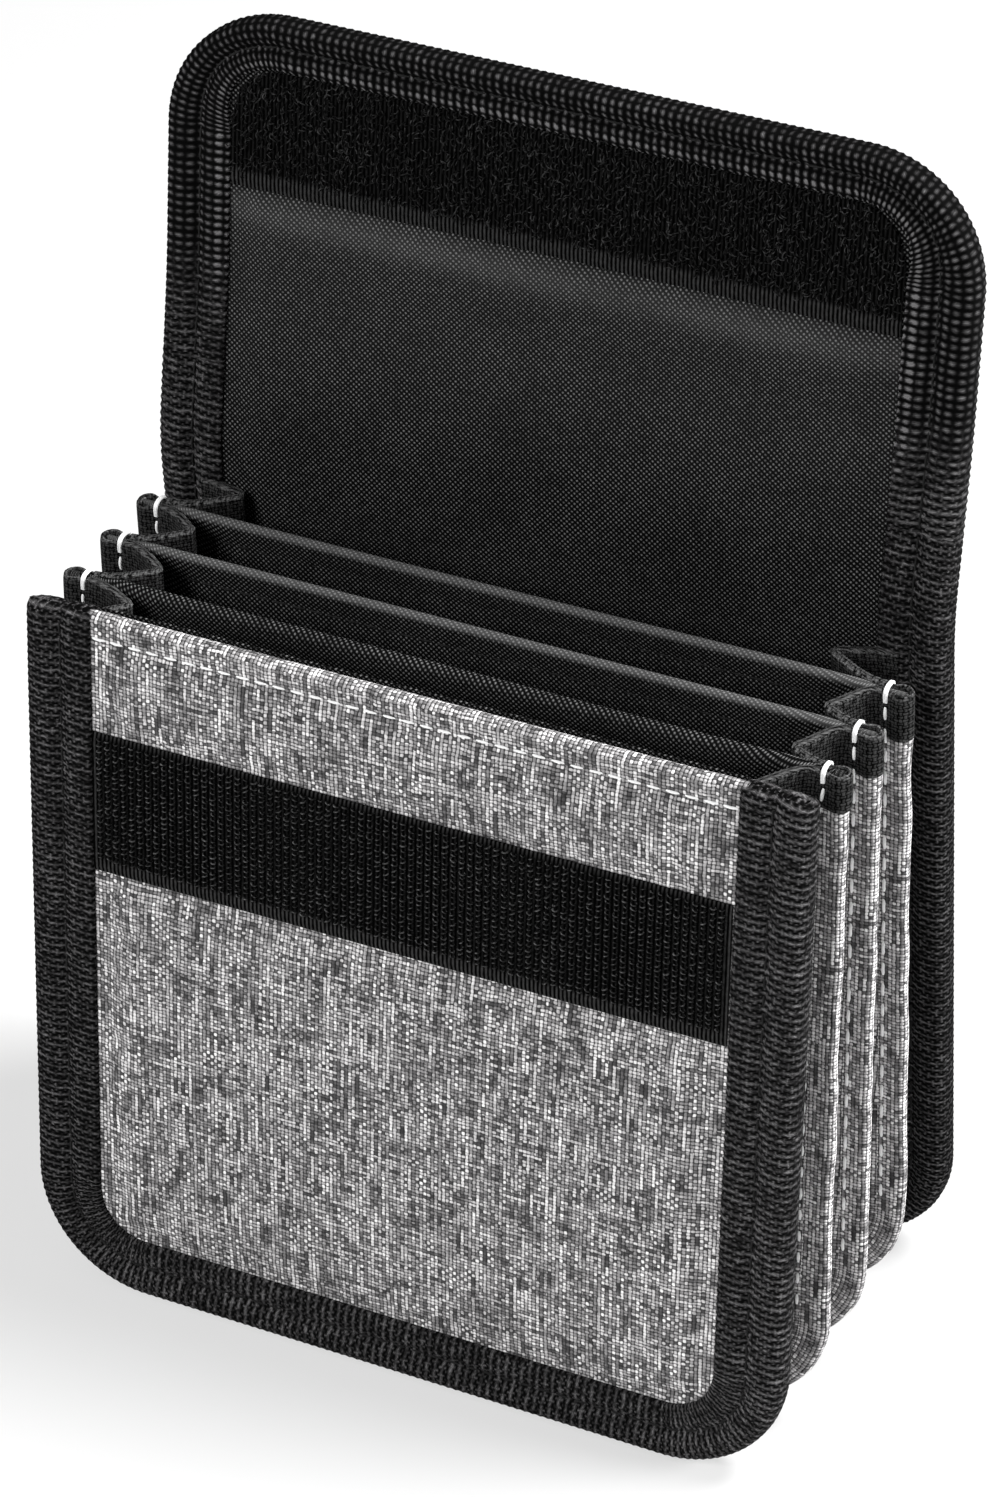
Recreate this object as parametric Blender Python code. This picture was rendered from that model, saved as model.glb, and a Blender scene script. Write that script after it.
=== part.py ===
# A padded pocket case for camera filters, standing open: a front panel, three
# dividers and a back panel joined by a pleated gusset, with a spine and a flap
# that fold over the four pockets. Metres, +Z up, -Y towards the viewer.
import math

import bmesh
import bpy
from mathutils import Matrix, Vector

# Outer sizes. The other walls and the gusset follow the front panel.
front_width = 0.132
front_height = 0.125
fold_overhang = 0.0006
divider_width = front_width + fold_overhang
gusset_drop = 0.003
gusset_height = front_height - gusset_drop
divider_rise = 0.0005
divider_height = gusset_height + divider_rise
back_overhang = 0.0038
back_width = front_width + back_overhang
back_rise = 0.0033
back_height = front_height + back_rise
spine_height = 0.0295
flap_height = 0.0441
floor_depth = 0.0646
corner_radius = 0.020
pocket_count = 4

# Angles of the panels as the case stands open
panel_lean = math.radians(4.16)
spine_lean = math.radians(10.05)
flap_lean = math.radians(6.68)
widest_bend = math.radians(86)
crease_angle = math.radians(40)

# Layers of a padded panel
clearance = 0.0003
cover_thickness = 0.0006
foam_thickness = 0.0018
lining_thickness = 0.0004
core_half = (cover_thickness + foam_thickness + lining_thickness) / 2 + clearance

# Webbing tape folded round the padded edges
binding_wall = 0.0007
binding_leg = 0.0115
binding_end_leg = 0.0105
flap_end_leg = 0.0080
binding_roll = 0.0010
binding_half = core_half + clearance + binding_wall
foot_sink = 0.0003

# Layers of a divider and the fold of gusset cloth stitched round its edge
board_thickness = 0.0004
divider_lining_thickness = 0.0003
divider_half = board_thickness / 2 + clearance + divider_lining_thickness
fold_wall = 0.0004
fold_leg = 0.0045
fold_half = divider_half + clearance + fold_wall

# Pleats between the walls, and the narrow tape along their top
pleat_neck = 0.0058
pleat_foot_depth = 0.0020
pleat_cloth = 0.0004
pleat_lining = 0.0003
top_tape_height = 0.010
top_tape_wall = 0.0003

# Fastening tapes. The loop tape's upper part is sewn in under the flap's binding.
fastener_width = 0.025
hook_drop = 0.0203
hook_thickness = 0.0012
loop_shown = 0.020
loop_thickness = 0.0014

# Thread, thin where it dips into the cloth between two stitches
thread = 0.0003
thread_width = 0.0005
sunk_share = 0.35
hem_inset = 0.0038
hem_pitch = 0.0031
seam_inset = 0.0035
seam_pitch = 0.0040
seam_foot = 0.024

sides = (("left", -1), ("right", 1))
arc_steps = 6
side_steps = 4
fold_reach = binding_half * math.tan(widest_bend / 2) + clearance


def clear_scene():
    for item in list(bpy.data.objects):
        bpy.data.objects.remove(item)


def material(name, colour, roughness):
    made = bpy.data.materials.new(name)
    made.use_nodes = True
    shader = made.node_tree.nodes["Principled BSDF"]
    shader.inputs["Base Color"].default_value = (*colour, 1)
    shader.inputs["Roughness"].default_value = roughness
    shader.inputs["Metallic"].default_value = 0
    return made


def guide(name, parent, location, turn):
    empty = bpy.data.objects.new(name, None)
    bpy.context.scene.collection.objects.link(empty)
    empty.parent = parent
    empty.location = location
    empty.rotation_euler = (turn, 0, 0)
    return empty


def piece(name, mesh, finish, parent):
    bmesh.ops.recalc_face_normals(mesh, faces=mesh.faces)
    data = bpy.data.meshes.new(name)
    mesh.to_mesh(data)
    mesh.free()
    data.shade_smooth()
    data.set_sharp_from_angle(angle=crease_angle)
    data.materials.append(finish)
    made = bpy.data.objects.new(name, data)
    bpy.context.scene.collection.objects.link(made)
    made.parent = parent
    return made


def sweep(mesh, rings, paired=False):
    # One closed skin over a row of rings, with a flat face on each end. Paired
    # rings run out and back through the same stations, and their twisted quads
    # are split alike on both runs, so that neighbouring layers stay parallel.
    loops = [[mesh.verts.new(point) for point in ring] for ring in rings]
    for here, there in zip(loops, loops[1:]):
        for index, first in enumerate(here):
            after = (index + 1) % len(here)
            quad = (first, here[after], there[after], there[index])
            if not paired:
                mesh.faces.new(quad)
                continue
            start = 0 if index < len(here) // 2 else 1
            turned = quad[start:] + quad[:start]
            mesh.faces.new(turned[:3])
            mesh.faces.new((turned[2], turned[3], turned[0]))
    mesh.faces.new(loops[0][::-1])
    mesh.faces.new(loops[-1])


def edge_path(half_width, top, radius, steps=1):
    # Stations (x, z, inward x, inward z) down the left side, round the foot
    # and up the right side.
    left = []
    for step in range(steps):
        left.append((-half_width, top + (radius - top) * step / steps, 1, 0))
    for step in range(arc_steps + 1):
        angle = math.pi / 2 * step / arc_steps
        across, down = math.cos(angle), math.sin(angle)
        left.append((-half_width + radius * (1 - across), radius * (1 - down), across, down))
    return left + [(-x, z, -across, down) for x, z, across, down in reversed(left)]


def turned_over(path, height):
    return [(x, height - z, across, -down) for x, z, across, down in path]


def outline(path, inset):
    return [(x + across * inset, z + down * inset) for x, z, across, down in path]


def plate(mesh, points, near, far):
    sweep(mesh, [[(x, y, z) for x, z in points] for y in (near, far)])


def channel_section(half, wall, leg, roll):
    # A U seen along the edge that it wraps: (distance in from the edge, y).
    inner = half - wall
    return [
        (leg, half),
        (roll, half),
        (0, half - roll),
        (0, roll - half),
        (roll, -half),
        (leg, -half),
        (leg, -inner),
        (wall, -inner),
        (wall, inner),
        (leg, inner),
    ]


def wrap_edge(mesh, path, section_at, floor_at=None):
    rings = []
    for x, z, across, down in path:
        ring = []
        for inset, y in section_at(abs(down)):
            height = z + down * inset
            if floor_at:
                height = max(height, floor_at(y))
            ring.append((x + across * inset, y, height))
        rings.append(ring)
    sweep(mesh, rings)


def binding_at(end_leg):
    # The legs change from the side's depth to the end's depth round a corner.
    def section_at(share):
        leg = binding_leg + (end_leg - binding_leg) * share
        return channel_section(binding_half, binding_wall, leg, binding_roll)

    return section_at


def floor_under(lean):
    # Height of the floor in the frame of a wall that leans back by this angle.
    return lambda y: foot_sink + y * math.tan(lean)


def wall_lean(index):
    return panel_lean * (1 - 2 * index / pocket_count)


def wall_foot(index):
    return floor_depth * (index / pocket_count - 1 / 2)


def wall_frame(name, index):
    lean = wall_lean(index)
    place = (0, wall_foot(index), -foot_sink * math.cos(lean))
    return guide(name, None, place, -lean)


def wall_half(index):
    return binding_half if index in (0, pocket_count) else divider_half


def layers(outward):
    # The y ranges of cover, foam and lining; the cover faces the outward sign.
    cover = (core_half - cover_thickness, core_half)
    foam = (lining_thickness + clearance - core_half, cover[0] - clearance)
    lining = (-core_half, lining_thickness - core_half)
    return [sorted((outward * near, outward * far)) for near, far in (cover, foam, lining)]


def add_front(finishes):
    frame = wall_frame("front_frame", 0)
    lean = wall_lean(0)
    cover, foam, lining = layers(-1)
    path = edge_path(front_width / 2, front_height, corner_radius)
    inset = binding_wall + clearance

    mesh = bmesh.new()
    wrap_edge(mesh, path, binding_at(binding_end_leg), floor_under(lean))
    piece("front_binding", mesh, finishes["webbing"], frame)

    under_hem = front_height - cover_thickness
    mesh = bmesh.new()
    folded = outline(edge_path(front_width / 2, under_hem, corner_radius), inset)
    folded_sheet(mesh, folded, front_height, cover, lining[1])
    piece("front_cover", mesh, finishes["heather"], frame)

    inner_path = edge_path(front_width / 2, under_hem - clearance, corner_radius)
    for name, span, finish in (("foam", foam, "foam"), ("lining", lining, "twill")):
        mesh = bmesh.new()
        plate(mesh, outline(inner_path, inset), *span)
        piece("front_" + name, mesh, finishes[finish], frame)

    half = front_width / 2 - binding_leg - clearance
    high = front_height - hook_drop
    low = high - fastener_width
    mesh = bmesh.new()
    strip = [(-half, low), (half, low), (half, high), (-half, high)]
    face = -core_half - clearance
    plate(mesh, strip, face - hook_thickness, face)
    piece("hook_strip", mesh, finishes["hook"], frame)

    outer_edge = ripple(face, -half, half, hem_pitch, -1)
    line = [(-half, face), *((x, y) for y, x in outer_edge), (half, face)]
    middle = front_height - hem_inset
    heights = (middle - thread_width / 2, middle + thread_width / 2)
    mesh = bmesh.new()
    sweep(mesh, [[(x, y, z) for x, y in line] for z in heights])
    piece("front_hem_thread", mesh, finishes["thread"], frame)


def folded_sheet(mesh, points, top, sheet, far, rear=None):
    # A sheet whose upper edge folds over to the far side, where it ends or
    # runs down again as a rear sheet with the same outline.
    def row(y):
        return [mesh.verts.new((x, y, z)) for x, z in points]

    def ridge(y):
        return [mesh.verts.new((x, y, top)) for x, z in (points[0], points[-1])]

    outer, inner = row(sheet[0]), row(sheet[1])
    near_ridge, far_ridge = ridge(sheet[0]), ridge(far)
    mesh.faces.new(outer + near_ridge[::-1])
    mesh.faces.new(inner[::-1])
    edges = [(outer, inner)]
    if rear:
        rear_inner, rear_outer = row(rear), row(far)
        mesh.faces.new(rear_inner)
        mesh.faces.new(rear_outer[::-1] + far_ridge)
        edges.append((rear_inner, rear_outer))
        under = (rear_inner[0], rear_inner[-1])
        ends = ((rear_inner[0], rear_outer[0]), (rear_inner[-1], rear_outer[-1]))
    else:
        x, z = points[0]
        under = (mesh.verts.new((x, far, z)), mesh.verts.new((-x, far, z)))
        mesh.faces.new((far_ridge[0], far_ridge[1], under[1], under[0]))
        ends = ((under[0],), (under[1],))
    for first, second in edges:
        for index in range(len(points) - 1):
            mesh.faces.new((first[index], first[index + 1], second[index + 1], second[index]))
    mesh.faces.new((near_ridge[0], near_ridge[1], far_ridge[1], far_ridge[0]))
    mesh.faces.new((inner[0], inner[-1], under[1], under[0]))
    for side, place in ((0, 0), (1, -1)):
        mesh.faces.new((near_ridge[side], outer[place], inner[place], *ends[side], far_ridge[side]))


def ripple(face, low, high, pitch, outward):
    # The outer edge (depth, place) of a row of stitches along a face.
    count = max(1, round((high - low) / pitch))
    half_step = (high - low) / count / 2
    thin = face + outward * thread * sunk_share
    edge = [(thin, low)]
    for index in range(count):
        edge.append((face + outward * thread, low + (2 * index + 1) * half_step))
        edge.append((thin, low + (2 * index + 2) * half_step))
    return edge


def add_divider(index, finishes):
    name = f"divider_{index}_"
    frame = wall_frame(name + "frame", index)
    half = divider_width / 2
    inset = fold_wall + clearance
    board_half = board_thickness / 2
    under_fold = divider_height - divider_lining_thickness

    mesh = bmesh.new()
    points = outline(edge_path(half, under_fold - clearance, corner_radius), inset)
    plate(mesh, points, -board_half, board_half)
    piece(name + "board", mesh, finishes["board"], frame)

    mesh = bmesh.new()
    points = outline(edge_path(half, under_fold, corner_radius), inset)
    sheet = (-divider_half, divider_lining_thickness - divider_half)
    folded_sheet(mesh, points, divider_height, sheet, divider_half, -sheet[1])
    piece(name + "lining", mesh, finishes["twill"], frame)

    mesh = bmesh.new()
    path = edge_path(half, gusset_height, corner_radius)
    section = channel_section(fold_half, fold_wall, fold_leg, fold_wall)
    wrap_edge(mesh, path, lambda share: section, floor_under(wall_lean(index)))
    piece(name + "fold", mesh, finishes["heather"], frame)

    for side_name, side in sides:
        add_fold_tape(name + "tape_" + side_name, side, finishes["tape"], frame)
        add_seam(name + "thread_" + side_name, side, finishes["thread"], frame)


def add_fold_tape(name, side, finish, frame):
    # Narrow tape round the top of a fold, with a lip over the fold's cloth.
    low = gusset_height - top_tape_height
    lip = gusset_height + clearance
    top = lip + top_tape_wall
    near = clearance
    far = clearance + top_tape_wall
    section = [(near, low), (far, low), (far, top), (-fold_wall, top), (-fold_wall, lip), (near, lip)]
    turns = [(fold_leg, 0, 1), (0, -1, 1), (0, -1, -1), (fold_leg, 0, -1)]
    rings = []
    for inset, lengthwise, facing in turns:
        ring = []
        for out, z in section:
            x = side * (divider_width / 2 - inset - lengthwise * out)
            ring.append((x, facing * (fold_half + out), z))
        rings.append(ring)
    mesh = bmesh.new()
    sweep(mesh, rings)
    piece(name, mesh, finish, frame)


def add_seam(name, side, finish, frame):
    # One thread up the front face of a fold, over its top and down the back.
    on_fold = fold_half + clearance
    on_tape = on_fold + top_tape_wall + clearance
    step = gusset_height - top_tape_height - clearance
    roof = gusset_height + clearance + top_tape_wall + clearance
    outer = ripple(on_fold, seam_foot, step - thread, seam_pitch, 1)
    outer += ripple(on_tape, step - thread, roof, seam_pitch, 1)
    outer.append((on_tape + thread, roof + thread))
    inner = [(on_tape, roof), (on_tape, step), (on_fold, step), (on_fold, seam_foot)]
    loop = outer + [(-y, z) for y, z in outer[::-1]]
    loop += [(-y, z) for y, z in inner[::-1]] + inner
    middle = side * (divider_width / 2 - seam_inset)
    edges = (middle - thread_width / 2, middle + thread_width / 2)
    mesh = bmesh.new()
    sweep(mesh, [[(x, y, z) for y, z in loop] for x in edges])
    piece(name, mesh, finish, frame)


def padded_stack(prefix, frame, points, finishes):
    cover, foam, lining = layers(1)
    for name, span, finish in (
        ("cover", cover, "heather"),
        ("foam", foam, "foam"),
        ("lining", lining, "twill"),
    ):
        mesh = bmesh.new()
        plate(mesh, points, *span)
        piece(prefix + name, mesh, finishes[finish], frame)


def add_back(finishes):
    frame = wall_frame("back_frame", pocket_count)
    top = back_height - fold_reach
    path = edge_path(back_width / 2, top, corner_radius)
    mesh = bmesh.new()
    wrap_edge(mesh, path, binding_at(binding_end_leg), floor_under(wall_lean(pocket_count)))
    piece("back_binding", mesh, finishes["webbing"], frame)
    padded_stack("back_", frame, outline(path, binding_wall + clearance), finishes)
    return frame


def add_spine(parent, finishes):
    frame = guide("spine_fold_axis", parent, (0, 0, back_height), -spine_lean - panel_lean)
    low, high = fold_reach, spine_height - fold_reach
    half = back_width / 2
    section = channel_section(binding_half, binding_wall, binding_leg, binding_roll)
    for side_name, side in sides:
        mesh = bmesh.new()
        wrap_edge(mesh, [(side * half, z, -side, 0) for z in (low, high)], lambda share: section)
        piece("spine_binding_" + side_name, mesh, finishes["webbing"], frame)
    inner = half - binding_wall - clearance
    points = [(-inner, low), (inner, low), (inner, high), (-inner, high)]
    padded_stack("spine_", frame, points, finishes)
    return frame


def add_flap(parent, finishes):
    frame = guide("flap_fold_axis", parent, (0, 0, spine_height), spine_lean - flap_lean)
    path = edge_path(back_width / 2, flap_height - fold_reach, corner_radius)
    path = turned_over(path, flap_height)
    mesh = bmesh.new()
    wrap_edge(mesh, path, binding_at(flap_end_leg))
    piece("flap_binding", mesh, finishes["webbing"], frame)
    padded_stack("flap_", frame, outline(path, binding_wall + clearance), finishes)

    # The loop tape's upper corners follow the rounded corners of the binding.
    high = flap_height - flap_end_leg - clearance
    strip_path = edge_path(back_width / 2 - binding_leg - clearance, loop_shown,
                           corner_radius - binding_leg)
    strip = [(x, high - z) for x, z in outline(strip_path, 0)]
    face = -core_half - clearance
    mesh = bmesh.new()
    plate(mesh, strip, face - loop_thickness, face)
    piece("loop_strip", mesh, finishes["loop"], frame)
    return frame


def add_fold_web(name, lower, upper, length, finish):
    # The cover, lining and binding that carry on across a fold, sewn flat
    # together. Rings lie in the frame of the panel below, half way round the
    # bend, and in the frame of the panel above.
    bend = upper.matrix_basis.to_euler().x
    half = back_width / 2
    quarter = [
        (half, binding_half - binding_roll),
        (half - binding_roll, binding_half),
        (half - binding_leg, binding_half),
        (half - binding_leg - clearance, core_half),
    ]
    rear = quarter + [(-x, y) for x, y in quarter[::-1]]
    section = rear + [(x, -y) for x, y in rear[::-1]]
    rings = [[(x, y, length - fold_reach + clearance) for x, y in section]]
    for turn, rise in ((bend / 2, 0), (bend, fold_reach - clearance)):
        spin = Matrix.Rotation(turn, 3, "X")
        rings.append([spin @ Vector((x, y, rise)) + Vector((0, 0, length)) for x, y in section])
    mesh = bmesh.new()
    sweep(mesh, rings)
    piece(name, mesh, finish, lower)


def wall_y(index, z):
    lean = wall_lean(index)
    return wall_foot(index) + (z + foot_sink * math.cos(lean)) * math.tan(lean)


def pocket_span(pocket, z):
    # The y range between the two walls that a pleat is seated on.
    near = wall_y(pocket, z) + wall_half(pocket) + clearance
    far = wall_y(pocket + 1, z) - wall_half(pocket + 1) - clearance
    return near, far


def half_span(pocket, z):
    near, far = pocket_span(pocket, z)
    return (far - near) / 2


def pleat_point(pocket, station, depth, turn):
    # A point of a V-shaped pleat: depth is measured through the cloth, and
    # turn is 0 at the wall in front, 1 in the valley and 2 at the wall behind.
    x, z, across, down = station
    leg = math.hypot(half_span(pocket_count // 2, 0), pleat_foot_depth)
    reach = half_span(pocket, z + down * pleat_neck)
    inset = pleat_neck + depth * leg / reach
    if turn == 1:
        inset += math.sqrt(leg * leg - reach * reach)
    height = z + down * inset
    near, far = pocket_span(pocket, height)
    return (x + across * inset, near + (far - near) * turn / 2, height)


def add_pleat(pocket, finishes):
    name = f"pleat_{pocket + 1}_"
    path = edge_path(divider_width / 2, gusset_height, corner_radius, side_steps)
    inner = pleat_cloth + clearance
    deepest = inner + pleat_lining
    for part, span, finish in (
        ("cloth", (0, pleat_cloth), "heather"),
        ("lining", (inner, deepest), "twill"),
    ):
        mesh = bmesh.new()
        rings = []
        for station in path:
            ring = [pleat_point(pocket, station, span[0], turn) for turn in (0, 1, 2)]
            ring += [pleat_point(pocket, station, span[1], turn) for turn in (2, 1, 0)]
            rings.append(ring)
        sweep(mesh, rings, paired=True)
        piece(name + part, mesh, finishes[finish], None)

    low = gusset_height - top_tape_height
    lip = gusset_height + clearance
    top = lip + top_tape_wall
    outside = (-clearance - top_tape_wall, -clearance)
    inside = (deepest + clearance, deepest + clearance + top_tape_wall)
    section = [(outside[0], low), (outside[0], top), (inside[1], top), (inside[1], low)]
    section += [(inside[0], low), (inside[0], lip), (outside[1], lip), (outside[1], low)]
    for side_name, side in sides:
        rings = []
        for turn in (0, 1, 2):
            ring = []
            for depth, z in section:
                station = (side * divider_width / 2, z, -side, 0)
                ring.append(pleat_point(pocket, station, depth, turn))
            rings.append(ring)
        mesh = bmesh.new()
        sweep(mesh, rings)
        piece(name + "tape_" + side_name, mesh, finishes["tape"], None)


def build():
    clear_scene()
    finishes = {
        "heather": material("heather_cloth", (0.20, 0.20, 0.21), 0.9),
        "foam": material("foam_sheet", (0.05, 0.05, 0.055), 0.95),
        "twill": material("black_twill", (0.018, 0.018, 0.02), 0.75),
        "webbing": material("black_webbing", (0.022, 0.022, 0.024), 0.8),
        "tape": material("black_tape", (0.02, 0.02, 0.022), 0.8),
        "board": material("divider_board", (0.06, 0.06, 0.065), 0.8),
        "hook": material("hook_tape", (0.012, 0.012, 0.013), 0.6),
        "loop": material("loop_tape", (0.010, 0.010, 0.011), 0.95),
        "thread": material("white_thread", (0.75, 0.75, 0.74), 0.7),
    }
    add_front(finishes)
    for index in range(1, pocket_count):
        add_divider(index, finishes)
    back = add_back(finishes)
    spine = add_spine(back, finishes)
    flap = add_flap(spine, finishes)
    add_fold_web("back_fold_web", back, spine, back_height, finishes["webbing"])
    add_fold_web("flap_fold_web", spine, flap, spine_height, finishes["webbing"])
    for pocket in range(pocket_count):
        add_pleat(pocket, finishes)


build()
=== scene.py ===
import bpy
import bmesh
import math
import numpy as np
from mathutils import Matrix, Vector


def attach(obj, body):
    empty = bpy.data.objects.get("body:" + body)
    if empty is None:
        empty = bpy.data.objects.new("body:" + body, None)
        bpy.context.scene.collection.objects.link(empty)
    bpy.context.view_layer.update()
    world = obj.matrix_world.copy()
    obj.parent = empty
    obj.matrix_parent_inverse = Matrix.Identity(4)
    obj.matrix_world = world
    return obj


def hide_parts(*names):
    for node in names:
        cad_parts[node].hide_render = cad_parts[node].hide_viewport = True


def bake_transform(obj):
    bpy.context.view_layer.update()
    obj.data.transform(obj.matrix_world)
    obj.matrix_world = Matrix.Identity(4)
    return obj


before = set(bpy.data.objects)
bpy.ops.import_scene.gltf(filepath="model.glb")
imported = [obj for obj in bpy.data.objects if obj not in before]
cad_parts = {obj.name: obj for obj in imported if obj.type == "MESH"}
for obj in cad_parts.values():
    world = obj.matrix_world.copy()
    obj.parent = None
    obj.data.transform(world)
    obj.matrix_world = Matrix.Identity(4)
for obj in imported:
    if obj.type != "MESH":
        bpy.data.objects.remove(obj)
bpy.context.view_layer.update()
mm = 0.001

# Everything below is worked out in millimetres and made in metres.
case = {
    "halfFront": 66.0, "halfBack": 67.9, "halfDivider": 66.3, "backTop": 128.3, "gussetTop": 122.0,
    "spine": 29.5, "flap": 44.1, "depth": 64.6, "corner": 20.0, "inset": 1.05, "bend": 6.0,
    "lean": 4.16, "spineLean": 10.05, "flapLean": 6.68, "sink": 0.3, "lowest": 0.01,
}
foldLow = case["backTop"]  # height along the back where the spine turns
foldHigh = foldLow + case["spine"]  # where the flap turns
midSpine = foldLow + case["spine"] / 2
flapTop = foldHigh + case["flap"]


def ease(share):
    share = np.clip(share, 0, 1)
    return share * share * (3 - 2 * share)


def bump(place, middle, width):  # one smooth hill, 1 at its middle
    return np.exp(-((place - middle) / width) ** 2)


def stack(x, y, z):
    return np.stack(np.broadcast_arrays(x, y, z), -1).astype(float)


def wallPlace(index):  # panel 0 is the front, 1 to 3 the dividers, 4 the back
    lean = math.radians(case["lean"]) * (1 - index / 2)
    foot = case["depth"] * (index / 4 - 0.5)
    cos, sin = math.cos(lean), math.sin(lean)

    def place(x, y, z):
        up = -case["sink"] * cos - y * sin + z * cos
        return stack(x, foot + y * cos + z * sin, np.maximum(up, case["lowest"]))
    return place


def turnedUp(degrees):
    return np.array([math.sin(math.radians(degrees)), math.cos(math.radians(degrees))])


backUp, spineUp, flapUp = turnedUp(-case["lean"]), turnedUp(case["spineLean"]), turnedUp(case["flapLean"])
backFoot = np.array([case["depth"] / 2, -case["sink"] * math.cos(math.radians(case["lean"]))])
pivotLow = backFoot + foldLow * backUp
pivotHigh = pivotLow + case["spine"] * spineUp
folds = ((foldLow, pivotLow, backUp, spineUp), (foldHigh, pivotHigh, spineUp, flapUp))


def backPlace(x, y, s):  # s runs up the back, over the spine and the flap, round two soft folds
    s = np.asarray(s, float)
    centre = backFoot + s[..., None] * backUp
    ahead = np.broadcast_to(backUp, centre.shape)
    reach = case["bend"]
    for start, pivot, before, after in folds:
        share = ((s - start + reach) / (2 * reach))[..., None]
        low, high = pivot - reach * before, pivot + reach * after
        curve = (1 - share) ** 2 * low + 2 * share * (1 - share) * pivot + share ** 2 * high
        slope = (1 - share) * before + share * after
        slope = slope / np.linalg.norm(slope, axis=-1, keepdims=True)
        beyond = pivot + (s - start)[..., None] * after
        centre = np.where(share > 1, beyond, np.where(share > 0, curve, centre))
        ahead = np.where(share > 1, after, np.where(share > 0, slope, ahead))
    up = centre[..., 1] - y * ahead[..., 0]
    return stack(x, centre[..., 0] + y * ahead[..., 1], np.maximum(up, case["lowest"]))


def edgeLength(half, top):
    return 2 * (top - case["corner"] + case["corner"] * math.pi / 2 + half - case["corner"])


def edgeStations(half, top, lengths):  # down the left side, round the foot and up the right
    radius = case["corner"]
    side, arc = top - radius, radius * math.pi / 2
    total = edgeLength(half, top)
    lengths = np.asarray(lengths, float)
    run = np.minimum(lengths, total - lengths)
    turn = np.clip((run - side) / radius, 0, math.pi / 2)
    x = -half + radius * (1 - np.cos(turn)) + np.maximum(run - side - arc, 0)
    z = np.where(run < side, top - run, radius * (1 - np.sin(turn)))
    facing = np.where(lengths > total / 2, -1, 1)
    return x * facing, z, np.cos(turn) * facing, np.sin(turn)


def movedIn(stations, inset):  # one row of places for each station, so far inside the edge
    x, z, inX, inZ = (values[:, None] for values in stations)
    return x + inX * inset, z + inZ * inset


# Mesh making
def rounded(points, times=2):  # cuts the corners of an open line
    points = np.asarray(points, float)
    for _ in range(times):
        near = points[:-1] * 0.75 + points[1:] * 0.25
        far = points[:-1] * 0.25 + points[1:] * 0.75
        middle = np.stack([near, far], 1).reshape(-1, points.shape[1])
        points = np.vstack([points[:1], middle, points[-1:]])
    return points


def foldedLine(points):  # a rounded half section and its mirror image, as one line round the edge
    half = rounded(points)
    return np.vstack([half * (1, -1), half[-2::-1]])


def spaced(points, count):  # the same line with even steps, and its length so far at each
    run = np.concatenate([[0], np.cumsum(np.linalg.norm(np.diff(points, axis=0), axis=1))])
    at = np.linspace(0, run[-1], count)
    return np.stack([np.interp(at, run, points[:, k]) for k in range(points.shape[1])], 1), at


def linked(name, data):
    piece = bpy.data.objects.new(name, data)
    bpy.context.scene.collection.objects.link(piece)
    return piece


def softened(mesh, crease=50):
    mesh.shade_smooth()
    mesh.set_sharp_from_angle(angle=math.radians(crease))


def makeMesh(name, points, faces, finish, uv, marks, crease=50, merge=0.0):
    mesh = bpy.data.meshes.new(name)
    mesh.from_pydata((np.asarray(points).reshape(-1, 3) * mm).tolist(), [], faces)
    layer = mesh.uv_layers.new(name="UVMap")
    corner = np.empty(len(mesh.loops), np.int32)
    mesh.loops.foreach_get("vertex_index", corner)
    layer.data.foreach_set("uv", (uv.reshape(-1, 2)[corner] * mm).ravel().astype(np.float32))
    for label, values in marks.items():
        made = mesh.attributes.new(label, "FLOAT", "POINT")
        made.data.foreach_set("value", np.asarray(values, np.float32).ravel())
    work = bmesh.new()
    work.from_mesh(mesh)
    if merge:
        bmesh.ops.remove_doubles(work, verts=work.verts, dist=merge * mm)
    bmesh.ops.recalc_face_normals(work, faces=work.faces)
    work.to_mesh(mesh)
    work.free()
    softened(mesh, crease)
    if finish:
        mesh.materials.append(finish)
    return linked(name, mesh)


def gridFaces(rows, columns, start=0, flip=False):
    index = np.arange(rows * columns).reshape(rows, columns) + start
    quads = np.stack([index[:-1, :-1], index[:-1, 1:], index[1:, 1:], index[1:, :-1]], -1).reshape(-1, 4)
    return (quads[:, ::-1] if flip else quads).tolist()


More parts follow.
